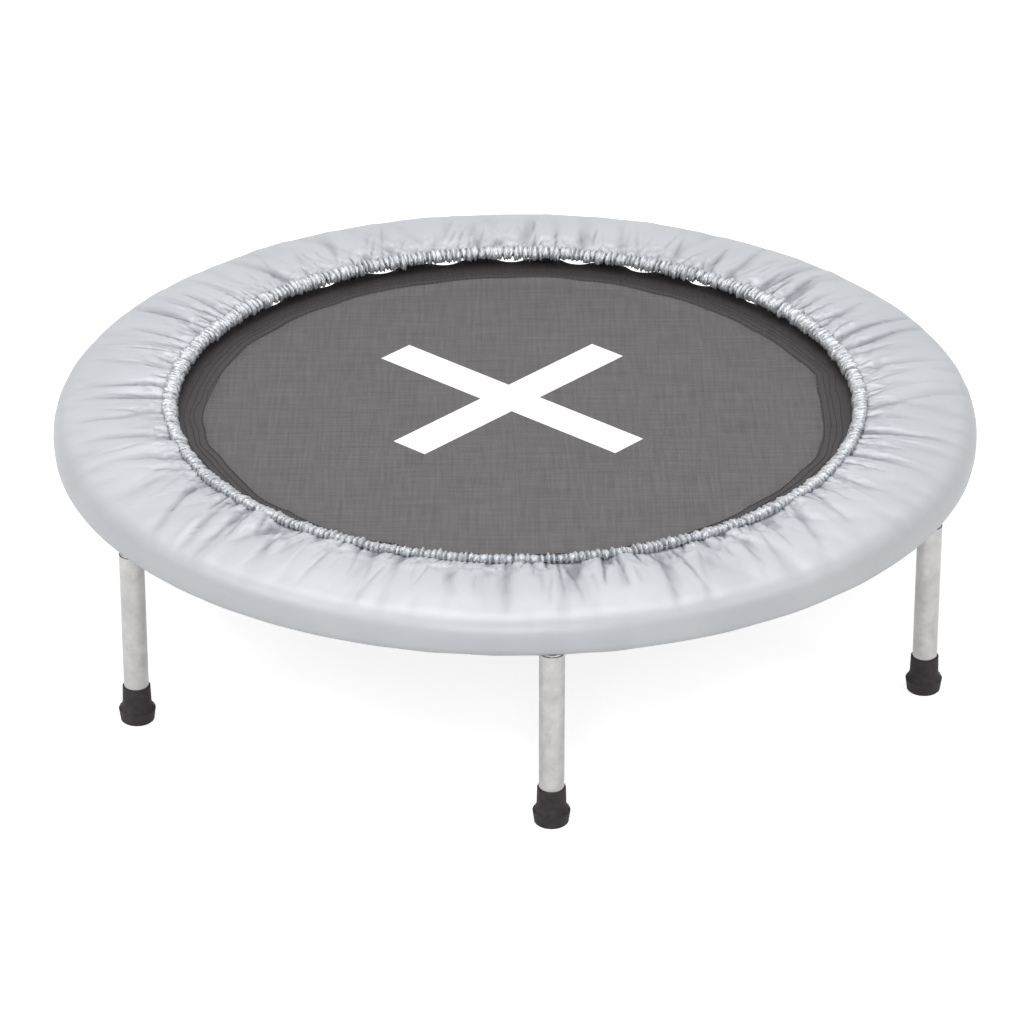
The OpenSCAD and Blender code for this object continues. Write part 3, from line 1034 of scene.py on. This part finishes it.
    def repeated(self, name: str, one: bpy.types.Object, finish: Finish) -> bpy.types.Object:
        """Repeat a piece that lies along +X once for each spring, by Geometry Nodes.

        Args:
            name: Name of the result.
            one: The piece to repeat; it is deleted afterwards.
            finish: Finish of the result.

        Returns:
            All copies as one piece.
        """
        tree = GeometryTree(
            f"round_the_bed_{name}",
            {"Count": ("NodeSocketInt", self.springs.count), "First angle": ("NodeSocketFloat", 0.0)},
        )
        spots = tree.add("GeometryNodePoints", {"Count": tree.given["Count"]}, 0)
        number = tree.add("GeometryNodeInputIndex", out=0)
        step = tree.add("Math", {0: 2 * math.pi, 1: tree.given["Count"]}, 0, operation="DIVIDE")
        turns = {0: number, 1: step, 2: tree.given["First angle"]}
        angle = tree.add("Math", turns, 0, operation="MULTIPLY_ADD")
        turn = tree.add("CombineXYZ", {"Z": angle}, "Vector")
        laid = {"Points": spots, "Instance": tree.given["Geometry"], "Rotation": turn}
        tree.end(tree.add("GeometryNodeInstanceOnPoints", laid, "Instances"), finish)
        first = math.radians(self.springs.angle(1))
        return tree.run(name, one, {"Count": self.springs.count, "First angle": first})

    def build_cross(self) -> bpy.types.Object:
        """Lay the plain cross on the bed as one thin twelve-cornered sheet.

        Returns:
            The cross.
        """
        half = self.cross_w / 2
        corners = []
        for quarter in range(4):
            a = math.radians(90 * quarter - 45 + self.cross_turn)
            long = self.cross_lens[quarter % 2] / 2
            for x, y in ((half, half), (half, long), (-half, long)):
                corners.append(
                    (
                        self.cross_at[0] + x * math.cos(a) - y * math.sin(a),
                        self.cross_at[1] + x * math.sin(a) + y * math.cos(a),
                    )
                )
        count = len(corners)
        points = np.array(
            [(*c, self.top + self.cross_lift) for c in corners]
            + [(*c, self.top + self.cross_lift - self.cross_t) for c in corners]
        )
        faces: list[tuple[int, ...]] = [tuple(range(count)), tuple(range(2 * count - 1, count - 1, -1))]
        faces += [(i, i + count, (i + 1) % count + count, (i + 1) % count) for i in range(count)]
        made = new_piece("printed_cross", points, faces, [CROSS_PRINT])
        made.data.polygons.foreach_set("use_smooth", np.zeros(len(faces), dtype=bool))
        return made

    def build(self) -> None:
        """Build and dress everything that moves with the bed."""
        sheet = self.build_sheet()
        stitches = self.build_stitches()
        straps = self.build_webbing()
        cross = self.build_cross()
        dress_node("v_rings", SPRING_STEEL)
        slots = ("bed_fabric", "webbing", "webbing", "cross_white")
        for piece, slot in zip((sheet, stitches, straps, cross), slots):
            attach(piece, Body.BED.value)
            LOG.info("made %s", piece.name)
        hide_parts("mat")
        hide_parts("webbing_tabs")
        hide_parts("centre_cross")


def joined(name: str, pieces: list[bpy.types.Object]) -> bpy.types.Object:
    """Join pieces that share their materials into one.

    Args:
        name: Name of the result.
        pieces: The pieces; the first is kept.

    Returns:
        The joined piece.
    """
    with bpy.context.temp_override(
        active_object=pieces[0], selected_objects=pieces, selected_editable_objects=pieces
    ):
        bpy.ops.object.join()
    pieces[0].name = pieces[0].data.name = name
    return pieces[0]


@dataclass(frozen=True)
class Crease:
    """One long fold of the cover that starts at the gathered edge."""

    angle: float
    length: float
    width: float
    height: float
    slant: float
    steep: float
    sharp: float


@dataclass(frozen=True)
class FoldFamily:
    """One family of folds: how many lie round the ring and how each may come out, in millimetres."""

    count: int
    length: tuple[float, float]
    width: tuple[float, float]
    height: tuple[float, float]
    sharp: float


@dataclass(frozen=True)
class Puckering:
    """One scale of puckers: soft puffs parted by sharp creases that run outwards."""

    count: int
    reach: float
    height: float
    fade: float
    power: float

    def field(
        self, angle: np.ndarray, out: np.ndarray, lean: np.ndarray, rng: np.random.Generator
    ) -> np.ndarray:
        """Height of these puckers.

        Args:
            angle: Angles in radians, one for each column.
            out: Distance from the stitch line, one for each row, in millimetres.
            lean: Sideways lean of the creases for each column, in radians at the rim's radius.
            rng: Seeded source of random numbers.

        Returns:
            Columns by rows array of heights in millimetres.
        """
        rows = int(np.ceil(out.max() / self.reach)) + 3
        knots = rng.uniform(-1, 1, (self.count, rows))
        x = (angle[:, None] + lean[:, None] * out[None, :]) / (2 * math.pi) * self.count
        y = np.broadcast_to(out[None, :] / self.reach, x.shape) + rng.uniform(0, 1)
        i, j = np.floor(x).astype(int), np.floor(y).astype(int)
        u, v = x - i, y - j
        u, v = u * u * (3 - 2 * u), v * v * (3 - 2 * v)
        a, b = knots[i % self.count, j], knots[(i + 1) % self.count, j]
        c, d = knots[i % self.count, j + 1], knots[(i + 1) % self.count, j + 1]
        wave = (a * (1 - u) + b * u) * (1 - v) + (c * (1 - u) + d * u) * v
        puff = np.abs(wave) ** self.power
        return self.height * (puff - puff.mean()) * np.exp(-((out / self.fade) ** 1.5))[None, :]


@dataclass(frozen=True)
class SlackCloth:
    """How the cover's cloth swells between its folds, as Blender's Cloth reads it.

    The cloth has its full slack at the stitch line and none at its reach, in millimetres.
    """

    share: float = 0.03
    reach: float = 60.0
    hold: float = 1.1
    frames: int = 10
    cap: float = 3.0
    long_waves: int = 12
    quality: int = 5
    mass: float = 0.01
    stretch: float = 30.0
    shear: float = 8.0
    bend: float = 0.6
    damping: float = 0.5
    bend_damping: float = 0.02


@dataclass
class PaddedCover:
    """Silver cover over a foam ring: gathered on elastic inside, drawn over the ring outside."""

    seam_r: float = 367.4
    seam_z: float = 237.7
    top_z: float = 238.85
    edge_top: float = 235.3
    crown: float = 1.5
    wall_r: float = 484.2
    corner_r: float = 23.0
    skirt_z: float = 194.3
    hem_in: float = 477.6
    cloth_t: float = 0.8
    slack: SlackCloth = SlackCloth()
    fine_step: float = 2.6
    finest_rows: int = 8
    row_growth: float = 1.7
    step: float = 5.2
    fine_reach: float = 66.0
    columns: int = 800
    casing_c: float = 361.6
    casing_z: float = 236.2
    casing_half: tuple[float, float] = (7.4, 6.0)
    casing_tilt: float = 0.28
    casing_flat: float = 0.78
    pleats: int = 384
    pleat_clumps: tuple[float, float] = (1.1, 0.3)
    pleat_depth: float = 0.38
    pleat_size: float = 0.09
    pleat_lift: float = 0.7
    pleat_sharp: tuple[float, float] = (0.7, 3.2)
    pleat_deep: tuple[float, float] = (0.15, 1.4)
    pleat_crush: float = 0.12
    pleat_mean: float = 0.6
    zigzag: float = 0.95
    casing_columns: int = 3456
    casing_sides: int = 20
    foam_low: float = 228.4
    foam_top: float = 234.9
    foam_in: float = 372.5
    foam_out: float = 451.0
    elastic_c: float = 480.34
    elastic_z: float = 198.0
    elastic_d: float = 3.0
    seam_pitch: float = 5.2
    seam_len: float = 4.0
    seam_thread: float = 0.8
    gather_h: float = 1.5
    gather_fade: float = 9.0
    fold_span: float = 13.0
    fold_limit: float = 4.6
    rim_at: float = 104.0
    rim_w: float = 26.0
    rim_h: float = 0.45
    foam_clear: float = 0.4
    foam_columns: int = 512
    # These scales also set the cover's painted shade: the wider one spreads it across each fold's valley.
    # Columns between the compared points, the bend that counts in full, and its share.
    hollow_scales: tuple[tuple[int, float, float], ...] = ((1, 0.3, 1.0), (4, 0.04, 0.75))
    puckers: tuple[Puckering, ...] = (
        Puckering(count=104, reach=80.0, height=3.4, fade=40.0, power=0.8),
        Puckering(count=50, reach=150.0, height=5.6, fade=84.0, power=0.9),
        Puckering(count=31, reach=190.0, height=3.6, fade=120.0, power=1.0),
    )
    families: tuple[FoldFamily, ...] = (
        FoldFamily(count=150, length=(16, 66), width=(2.2, 4.0), height=(-5.0, -2.4), sharp=1.0),
        FoldFamily(count=64, length=(64, 136), width=(3.2, 6.4), height=(-5.0, -2.4), sharp=1.1),
        FoldFamily(count=48, length=(60, 136), width=(3.6, 7.0), height=(1.2, 3.2), sharp=1.3),
    )

    def pleat_phase(self, angle: np.ndarray) -> np.ndarray:
        """Spread the pleats unevenly round the ring.

        Args:
            angle: Angles in radians.

        Returns:
            Running phase of the pleats, half a turn for each.
        """
        rng = np.random.default_rng(SEED + 3)
        broad, narrow = self.pleat_clumps
        clumps = broad * ring_noise(angle, rng, (9, 40), 6)
        clumps += narrow * ring_noise(angle, rng, (40, 110), 6)
        return self.pleats * angle / 2 + clumps

    def pleats_at(self, phase: np.ndarray, turn: np.ndarray | float) -> np.ndarray:
        """Phase of the pleats where their creases slant by turns to the left and to the right.

        Args:
            phase: Running phase from pleat_phase.
            turn: Angle round the gathered edge's section, 0 at its outer side, in radians.

        Returns:
            The slanted phase.
        """
        slant = np.interp(np.degrees(turn), [0, 100, 230, 300, 360], [0.25, 0.3, -1.0, 0.0, 0.25])
        return phase + self.zigzag * slant * np.cos(phase)

    def pleat_wave(self, angle: np.ndarray) -> np.ndarray:
        """Rounded pleats with narrow creases at the stitch line, from 0 in a crease to 1."""
        return np.abs(np.sin(self.pleats_at(self.pleat_phase(angle), 0.0))) ** 0.7

    def creases(self) -> list[Crease]:
        """Draw every fold of the cover.

        Returns:
            All folds.
        """
        rng = np.random.default_rng(SEED + 2)
        made = []
        for family in self.families:
            for k in range(family.count):
                spot = 2 * math.pi * (k + rng.uniform(-0.48, 0.48)) / family.count
                made.append(
                    Crease(
                        angle=spot,
                        length=rng.uniform(*family.length),
                        width=rng.uniform(*family.width),
                        height=rng.uniform(*family.height),
                        slant=rng.normal(0.0, 0.14) + self.lean(spot),
                        steep=rng.choice([-1, 1]) * rng.uniform(0.3, 0.9),
                        sharp=family.sharp,
                    )
                )
        return made

    def lean(self, angle: float) -> float:
        """Sideways lean of the folds at an angle, as a slope."""
        return 0.3 * math.sin(2 * angle + 0.6) + 0.16 * math.sin(5 * angle + 2.0)

    def relief(self, angle: np.ndarray, out: np.ndarray) -> np.ndarray:
        """Height of the folds over the smooth cover.

        Args:
            angle: Angles in radians, one for each column.
            out: Distance from the stitch line along the section, one for each row.

        Returns:
            Columns by rows array of heights in millimetres.
        """
        rng = np.random.default_rng(SEED + 4)
        radius = self.seam_r + np.minimum(out, self.wall_r - self.seam_r)
        fine = self.pleat_wave(angle) - self.pleat_mean
        total = fine[:, None] * (self.gather_h * np.exp(-out / self.gather_fade))[None, :]
        lean = np.array([self.lean(a) for a in angle]) / self.seam_r
        busy = np.clip(0.85 + 0.35 * ring_noise(angle, rng, (3, 14), 5), 0.45, 1.3)
        for pucker in self.puckers:
            total += pucker.field(angle, out, lean, rng)
        folds = np.zeros_like(total)
        for crease in self.creases():
            rows = np.nonzero(out < crease.length)[0]
            off = (angle - crease.angle + math.pi) % (2 * math.pi) - math.pi
            columns = np.nonzero(np.abs(off) < math.radians(self.fold_span))[0]
            along = out[rows] / crease.length
            aside = off[columns][:, None] * radius[rows][None, :] - crease.slant * out[rows][None, :]
            u = aside / (crease.width * (1.2 - 0.4 * along)[None, :])
            u = np.where(u * crease.steep > 0, u * (1 + abs(crease.steep)), u / (1 + abs(crease.steep)))
            fade = (1 - along) ** 0.7 * np.minimum(1, 0.55 + out[rows] / 18)
            depth = crease.height * np.exp(-np.abs(u) ** crease.sharp)
            folds[np.ix_(columns, rows)] += depth * fade[None, :]
        limit = self.fold_limit
        total += np.where(folds < -limit, -limit + 0.2 * (folds + limit), folds) * busy[:, None]
        rim = np.exp(-(((out - self.rim_at) / self.rim_w) ** 2))
        total += (self.rim_h * ring_noise(angle, rng, (20, 110), 10))[:, None] * rim[None, :]
        return total

    def section(self) -> np.ndarray:
        """Guide the cover's section from the stitch line over the top, down the wall and under.

        Returns:
            N by 2 array of radius and height, in millimetres.
        """
        span = self.wall_r - self.corner_r - self.seam_r
        centre = (self.wall_r - self.corner_r, self.edge_top - self.corner_r)
        points = [
            (self.seam_r, self.seam_z),
            (self.seam_r + 0.1 * span, self.top_z + 0.3 * self.crown),
            (self.seam_r + 0.38 * span, self.top_z + self.crown),
            (self.seam_r + 0.75 * span, self.top_z + 0.2 * self.crown),
        ]
        for t in (84, 65, 45, 25, 6):
            a = math.radians(t)
            across, up = self.corner_r * math.cos(a), self.corner_r * math.sin(a)
            points.append((centre[0] + across, centre[1] + up))
        points += [
            (self.wall_r + 0.3, 211.0),
            (self.wall_r - 0.2, 202.0),
            (self.wall_r - 1.4, self.skirt_z + 1.9),
            (self.wall_r - 3.6, self.skirt_z),
            (self.hem_in, self.skirt_z + 0.9),
            (self.hem_in - 0.6, self.skirt_z + 4.2),
        ]
        return smooth_section(points, 0.5)

    def cloth_points(self, angle: np.ndarray, section: np.ndarray, run: np.ndarray) -> np.ndarray:
        """Points of the folded cloth, section by section.

        Args:
            angle: Angles in radians, one for each column.
            section: Radius and height of the smooth section's rows.
            run: Distance of each row from the stitch line along the section.

        Returns:
            Columns by rows by 3 points in millimetres.
        """
        slope = np.gradient(section, run, axis=0)
        normal = np.stack([-slope[:, 1], slope[:, 0]], axis=1)
        normal /= np.linalg.norm(normal, axis=1)[:, None]
        top_run = self.wall_r - self.corner_r - self.seam_r
        keep = np.interp(run, [top_run, top_run + 26, top_run + 50], [1.0, 0.3, 0.1])
        lift = self.relief(angle, run) * keep[None, :]
        hem_wave = ring_noise(angle, np.random.default_rng(SEED + 5), (18, 60), 6)
        low = np.clip((run - (top_run + 34)) / 30, 0, 1)
        radius = section[:, 0] + normal[:, 0] * lift + 0.3 * hem_wave[:, None] * low
        height = section[:, 1] + normal[:, 1] * lift + 0.5 * hem_wave[:, None] * low
        return swung(radius, height, angle[:, None]).reshape(len(angle), len(run), 3)

    def hollows(self, points: np.ndarray) -> np.ndarray:
        """How creased the cloth is, from the hollows between its columns.

        Args:
            points: Columns by rows by 3 points of the cloth, in millimetres.

        Returns:
            Columns by rows of values from 0 to 1.
        """
        height, lag = points[:, :, 2], len(points) // self.columns
        pitch = np.hypot(points[:, :, 0], points[:, :, 1]) * 2 * math.pi / self.columns
        made = np.zeros_like(height)
        for steps, full, share in self.hollow_scales:
            near = np.roll(height, steps * lag, axis=0) + np.roll(height, -steps * lag, axis=0)
            bend = (near - 2 * height) / (steps * pitch) ** 2
            bend[:, 1:-1] = (bend[:, :-2] + 2 * bend[:, 1:-1] + bend[:, 2:]) / 4
            made = np.maximum(made, share * np.clip(bend / full, 0, 1))
        return made

    def cover_hollows(self, points: np.ndarray, rows: int) -> np.ndarray:
        """How creased each point of the cover is.

        Args:
            points: Columns by rows by 3 points of the cloth, in millimetres.
            rows: Number of the fine inner rows.

        Returns:
            One value for each point of the mesh, from 0 to 1.
        """
        parts = (points[:, :rows], points[::2, rows:])
        return np.concatenate([self.hollows(part).ravel() for part in parts])

    def without_rings(self, move: np.ndarray, run: np.ndarray) -> np.ndarray:
        """Keep of the cloth's moves what rises and falls in short waves round the ring.

        Args:
            move: Move of each point, in millimetres.
            run: Distance of each point from the stitch line along the section.

        Returns:
            The upward moves, row by row, less their longest waves.
        """
        made = np.zeros_like(move)
        for row in np.unique(run[run < self.slack.reach]):
            found = np.nonzero(run == row)[0]
            wave = np.fft.rfft(move[found, 2])
            wave[: self.slack.long_waves] = 0
            made[found, 2] = np.fft.irfft(wave, len(found))
        return made

    def settle(self, piece: bpy.types.Object, run: np.ndarray, creased: np.ndarray) -> np.ndarray:
        """Let the cover swell between its folds as slack cloth, held in its creases, seam and wall.

        Args:
            piece: The cover's sheet.
            run: Distance of each point from the stitch line along the section.
            creased: How creased each point is, from 0 to 1.

        Returns:
            The settled points in millimetres, each moved by no more than the cap.
        """
        slack, start = self.slack, mesh_points(piece.data)
        held = np.interp(run, [1.0, 3.0, 0.4 * slack.reach, slack.reach], [1.0, 0.0, 0.0, 1.0])
        weights = {
            "held": np.round(np.maximum(held, np.clip(slack.hold * creased, 0, 1)), 1),
            "taut": np.round(np.clip(run / slack.reach, 0, 1), 2),
        }
        for name, weight in weights.items():
            group = piece.vertex_groups.new(name=name)
            for level in np.unique(weight[weight > 0]):
                group.add(np.nonzero(weight == level)[0].tolist(), float(level), "REPLACE")
        cloth = piece.modifiers.new("settle", "CLOTH")
        settings = cloth.settings
        settings.quality = slack.quality
        settings.mass = slack.mass
        settings.tension_stiffness = settings.compression_stiffness = slack.stretch
        settings.shear_stiffness = slack.shear
        settings.bending_stiffness = slack.bend
        settings.tension_damping = settings.compression_damping = settings.shear_damping = slack.damping
        settings.bending_damping = slack.bend_damping
        settings.vertex_group_mass, settings.vertex_group_shrink = weights
        settings.shrink_min = -slack.share
        settings.effector_weights.gravity = 0.0
        cloth.collision_settings.use_collision = False
        cloth.point_cache.frame_start, cloth.point_cache.frame_end = 1, slack.frames
        for frame in range(1, slack.frames + 1):
            bpy.context.scene.frame_set(frame)
        shown = piece.evaluated_get(bpy.context.evaluated_depsgraph_get())
        move = mesh_points(shown.to_mesh()) - start
        shown.to_mesh_clear()
        piece.modifiers.remove(cloth)
        piece.vertex_groups.clear()
        bpy.context.scene.frame_set(1)
        move = self.without_rings(move, run)
        far = np.linalg.norm(move, axis=1, keepdims=True)
        LOG.info("The cover settled by %.1f mm at most, %.2f mm in the mean", far.max(), far.mean())
        return start + move * np.minimum(1.0, slack.cap / np.maximum(far, 1e-9))

    def clear_of_foam(self, points: np.ndarray) -> np.ndarray:
        """Lay the cloth on the foam wherever a fold would dip into it.

        Args:
            points: Columns by rows by 3 points of the cloth, in millimetres.

        Returns:
            The points, none of them lower than the foam and the cloth's thickness.
        """
        inside, outside = self.foam_in, self.foam_out
        spots = [self.seam_r, inside, inside + 8, (inside + outside) / 2, outside - 6, outside + 1]
        drops = np.array([-1.3, -3.0, -2.6, -0.8, 0.0, -0.6]) + self.foam_top
        drops += self.cloth_t + self.foam_clear
        radius = np.hypot(points[..., 0], points[..., 1])
        points[..., 2] = np.maximum(points[..., 2], np.interp(radius, spots, drops, right=0.0))
        return points

    def two_densities(self, points: np.ndarray, rows: int) -> np.ndarray:
        """Points of the fine inner rows, then every second column of the others, as N by 3."""
        return np.vstack([points[:, :rows].reshape(-1, 3), points[::2, rows:].reshape(-1, 3)])

    def build_cover(self) -> bpy.types.Object:
        """Make the cover's cloth, finer by the gathers, and give it its thickness.

        Returns:
            The cover.
        """
        full = self.section()
        length = np.concatenate([[0], np.cumsum(np.linalg.norm(np.diff(full, axis=0), axis=1))])
        reach, columns = self.fine_reach, self.columns
        rows = self.finest_rows
        wider = np.arange(rows * self.fine_step, reach, self.row_growth * self.fine_step)
        near = np.concatenate([np.arange(rows) * self.fine_step, wider])
        far = np.linspace(reach, length[-1], round((length[-1] - reach) / self.step))
        run, rows = np.concatenate([near, far]), len(near)
        section = np.stack([np.interp(run, length, full[:, i]) for i in (0, 1)], axis=1)
        points = self.cloth_points(around(2 * columns), section, run)
        start = 2 * columns * rows
        faces = [tuple(q) for q in ring_grid(2 * columns, rows, False, Side.INWARD)]
        faces += [tuple(q + start) for q in ring_grid(columns, len(far), False, Side.INWARD)]
        for j in range(columns):
            after = (j + 1) % columns
            edge = [((2 * j + k) % (2 * columns)) * rows + rows - 1 for k in (0, 1, 2)]
            faces.append((start + j * len(far), start + after * len(far), *edge[::-1]))
        made = new_piece("gathered_cover", self.two_densities(points, rows), faces, [COVER_CLOTH])
        along = np.concatenate([np.tile(run[:rows], 2 * columns), np.tile(run[rows:], columns)])
        settled = self.settle(made, along, self.cover_hollows(points, rows))
        points[:, :rows] = settled[:start].reshape(2 * columns, rows, 3)
        points[::2, rows:] = settled[start:].reshape(columns, len(far), 3)
        points = self.clear_of_foam(points)
        made.data.vertices.foreach_set("co", (MM * self.two_densities(points, rows)).ravel())
        made.data.update()
        # The crease marks darken the cover's hollows as painted shade.
        mark_creases(made, self.cover_hollows(points, rows))
        wall = made.modifiers.new("cloth_thickness", "SOLIDIFY")
        wall.thickness = self.cloth_t * MM
        wall.offset = -1.0
        return made

    def build_casing(self) -> bpy.types.Object:
        """Make the gathered edge: a soft flat tube, pleated and crushed on its elastic.

        Returns:
            The gathered edge.
        """
        rng = np.random.default_rng(SEED + 6)
        angle, turn = around(self.casing_columns), around(self.casing_sides)
        phase = self.pleats_at(self.pleat_phase(angle)[:, None], turn[None, :])
        pleat = np.floor(phase / math.pi).astype(int) % self.pleats
        valley = np.round(phase / math.pi).astype(int) % self.pleats
        size = rng.normal(0, self.pleat_size, self.pleats)
        lift = rng.normal(0, self.pleat_lift, self.pleats)
        sharp = rng.uniform(*self.pleat_sharp, self.pleats)
        deep = rng.uniform(*self.pleat_deep, self.pleats)
        wave = np.abs(np.sin(phase)) ** sharp[pleat]
        crush = [ring_noise(angle + 0.004 * k, rng, (220, 760), 6) for k in range(self.casing_sides)]
        round_edge = np.interp(np.degrees(turn), [0, 60, 150, 240, 360], [0.5, 1.0, 0.8, 1.0, 0.5])
        depth = self.pleat_depth * round_edge[None, :] * deep[valley]
        swell = (1 - depth * (1 - wave)) * (1 + size[pleat] * wave)
        swell += self.pleat_crush * np.stack(crush, axis=1)
        flat = [np.sign(f(turn)) * np.abs(f(turn)) ** self.casing_flat for f in (np.cos, np.sin)]
        aside = self.casing_half[0] * swell * flat[0]
        radius = self.casing_c + aside
        height = self.casing_z + self.casing_half[1] * swell * flat[1]
        height += self.casing_tilt * aside + lift[pleat] * wave
        points = swung(radius, height, angle[:, None])
        faces = ring_grid(self.casing_columns, self.casing_sides, True, Side.OUTWARD)
        made = new_piece("pleated_edge", points, faces, [GATHERED_CLOTH])
        # Painted shade: the pleats' valleys, the deep ones most, are marked creased so that the material
        # darkens them.
        mark_creases(made, np.clip((1 - 1.9 * wave) * (0.2 + deep[valley]), 0, 1).ravel())
        return made

    def build_seam(self) -> bpy.types.Object:
        """Sew the stitch line between the cover and its gathered edge.

        Returns:
            The stitches.
        """
        angle = around(1440)
        lift = 1.6 * (self.pleat_wave(angle) - self.pleat_mean)
        line = swung(np.full_like(angle, self.seam_r + 0.8), self.seam_z + 0.5 + lift, angle)
        sizes = {"Pitch": self.seam_pitch, "Length": self.seam_len, "Thread": self.seam_thread}
        return stitch_tree(COVER_THREAD).run(
            "seam_stitches",
            guide_line("seam_line", line, True),
            {name: size * MM for name, size in sizes.items()},
        )

    def build_foam(self) -> bpy.types.Object:
        """Make the foam ring, with a shallow, uneven groove along its underside above the springs.

        Returns:
            The foam.
        """
        columns, rng = self.foam_columns, np.random.default_rng(SEED + 7)
        angle = around(columns)
        rounding = 4.0
        guide = [
            (self.foam_in + rounding, self.foam_low),
            (self.foam_in + 0.5, self.foam_low + 1.2),
            (self.foam_in, self.foam_low + 2.4),
            (self.foam_in + 2, self.foam_top - 3.4),
            (self.foam_in + 8, self.foam_top - 2.8),
            ((self.foam_in + self.foam_out) / 2, self.foam_top - 0.8),
            (self.foam_out - 6, self.foam_top),
            (self.foam_out - 1.5, self.foam_top - 1.4),
            (self.foam_out, self.foam_low + 4),
            (self.foam_out - 0.5, self.foam_low + 1.6),
            (self.foam_out - rounding, self.foam_low),
        ]
        dents = [(430, self.foam_low + 0.3), (396, self.foam_low + 0.3)]
        section = np.vstack([smooth_section(guide, 5.0), dents])
        wobble = 0.4 * ring_noise(angle, rng, (9, 40), 5)
        radius, height = (np.tile(section[:, i], (columns, 1)) for i in (0, 1))
        height[:, -2:] += np.abs(wobble)[:, None]
        points = swung(radius, height, angle[:, None])
        faces = ring_grid(columns, len(section), True, Side.INWARD)
        return new_piece("foam_ring", points, faces, [PAD_FOAM])

    def build_elastic(self) -> bpy.types.Object:
        """Run the elastic through the skirt's hem.

        Returns:
            The elastic.
        """
        angle = around(360)
        line = swung(np.full_like(angle, self.elastic_c), np.full_like(angle, self.elastic_z), angle)
        guide = guide_line("elastic_line", line, True)
        return wire_tree(ELASTIC_BRAID, 10).run("skirt_elastic", guide, {"Wire": self.elastic_d * MM})

    def build(self) -> None:
        """Build and dress the pad, which stays with the ring."""
        pieces = {
            "pad_cover": (self.build_cover(), "cover_vinyl"),
            "gathered_casing": (self.build_casing(), "cover_vinyl"),
            "pad_foam": (self.build_foam(), "foam"),
            "hem_elastic": (self.build_elastic(), "elastic"),
        }
        for node, (piece, slot) in pieces.items():
            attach(piece, Body.FRAME.value)
            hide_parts(node)
            LOG.info("made %s", piece.name)
        seam = self.build_seam()
        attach(seam, Body.FRAME.value)


@dataclass
class StudioStage:
    """Pale floor, white surroundings, soft lamps and a camera at the photograph's angle."""

    azimuth: float = -4.4
    elevation: float = 27.72
    distance: float = 5497.6
    aim_z: float = 100.0
    lens: float = 182.0
    sensor: float = 36.0
    centre_x_px: float = 515.1
    world_light: float = 0.46
    floor_side: float = 14.0
    lamp_aim: float = 0.2

    def place_camera(self) -> None:
        """Set the camera at the photograph's viewing angle."""
        lens = bpy.data.cameras.new("photo_camera")
        lens.lens = self.lens
        lens.sensor_width = self.sensor
        lens.shift_x = (PHOTO_SIDE / 2 - self.centre_x_px) / PHOTO_SIDE
        lens.clip_end = 100.0
        camera = placed("photo_camera", lens)
        a, e = math.radians(self.azimuth), math.radians(self.elevation)
        away = Vector((math.sin(a) * math.cos(e), -math.cos(a) * math.cos(e), math.sin(e)))
        camera.location = Vector((0, 0, self.aim_z * MM)) + away * self.distance * MM
        camera.rotation_euler = (-away).to_track_quat("-Z", "Y").to_euler()
        bpy.context.scene.camera = camera

    def add_lamp(self, name: str, at: tuple[float, float, float], side: float, power: float) -> None:
        """Add a square soft lamp that faces the middle of the bed.

        Args:
            name: Name of the lamp.
            at: Its place in metres.
            side: Its side in metres.
            power: Its power in watts.
        """
        lamp = bpy.data.lights.new(name, "AREA")
        lamp.shape = "SQUARE"
        lamp.size = side
        lamp.energy = power
        made = placed(name, lamp)
        made.location = at
        away = Vector((0, 0, self.lamp_aim)) - Vector(at)
        made.rotation_euler = away.to_track_quat("-Z", "Y").to_euler()

    def build(self) -> None:
        """Build the floor, the lamps, the world and the camera."""
        half = self.floor_side / 2 / MM
        corners = np.array([(-half, -half, 0), (half, -half, 0), (half, half, 0), (-half, half, 0)])
        new_piece("studio_floor", corners, [(0, 1, 2, 3)], [STUDIO_PAPER])
        self.add_lamp("left_front_softbox", (-2.2, -1.2, 2.2), 0.8, 14.0)
        self.add_lamp("right_front_softbox", (2.4, -1.7, 2.2), 1.0, 11.0)
        self.add_lamp("overhead_softbox", (-0.1, 0.4, 3.4), 3.0, 70.0)
        self.add_lamp("low_front_softbox", (-0.3, -3.1, 1.8), 1.0, 24.0)
        world = bpy.data.worlds.new("white_studio")
        bpy.context.scene.world = world
        world.use_nodes = True
        tree = world.node_tree
        tree.nodes.clear()
        levels = {"Value": seen_rays(tree), "To Min": self.world_light, "To Max": 1.0}
        strength = add_node(tree, "MapRange", levels, "Result")
        glow = add_node(tree, "Background", {"Color": WHITE, "Strength": strength}, "Background")
        add_node(tree, "OutputWorld", {"Surface": glow})
        bpy.context.scene.view_settings.view_transform = "Standard"
        self.place_camera()


def main() -> None:
    """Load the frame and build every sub-assembly."""
    logging.basicConfig(level=logging.INFO, format="%(message)s")
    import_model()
    StudioStage().build()
    springs = SpringSuspension()
    LegSet().dress()
    springs.build()
    JumpingBed(springs).build()
    PaddedCover().build()


if __name__ == "__main__":
    main()
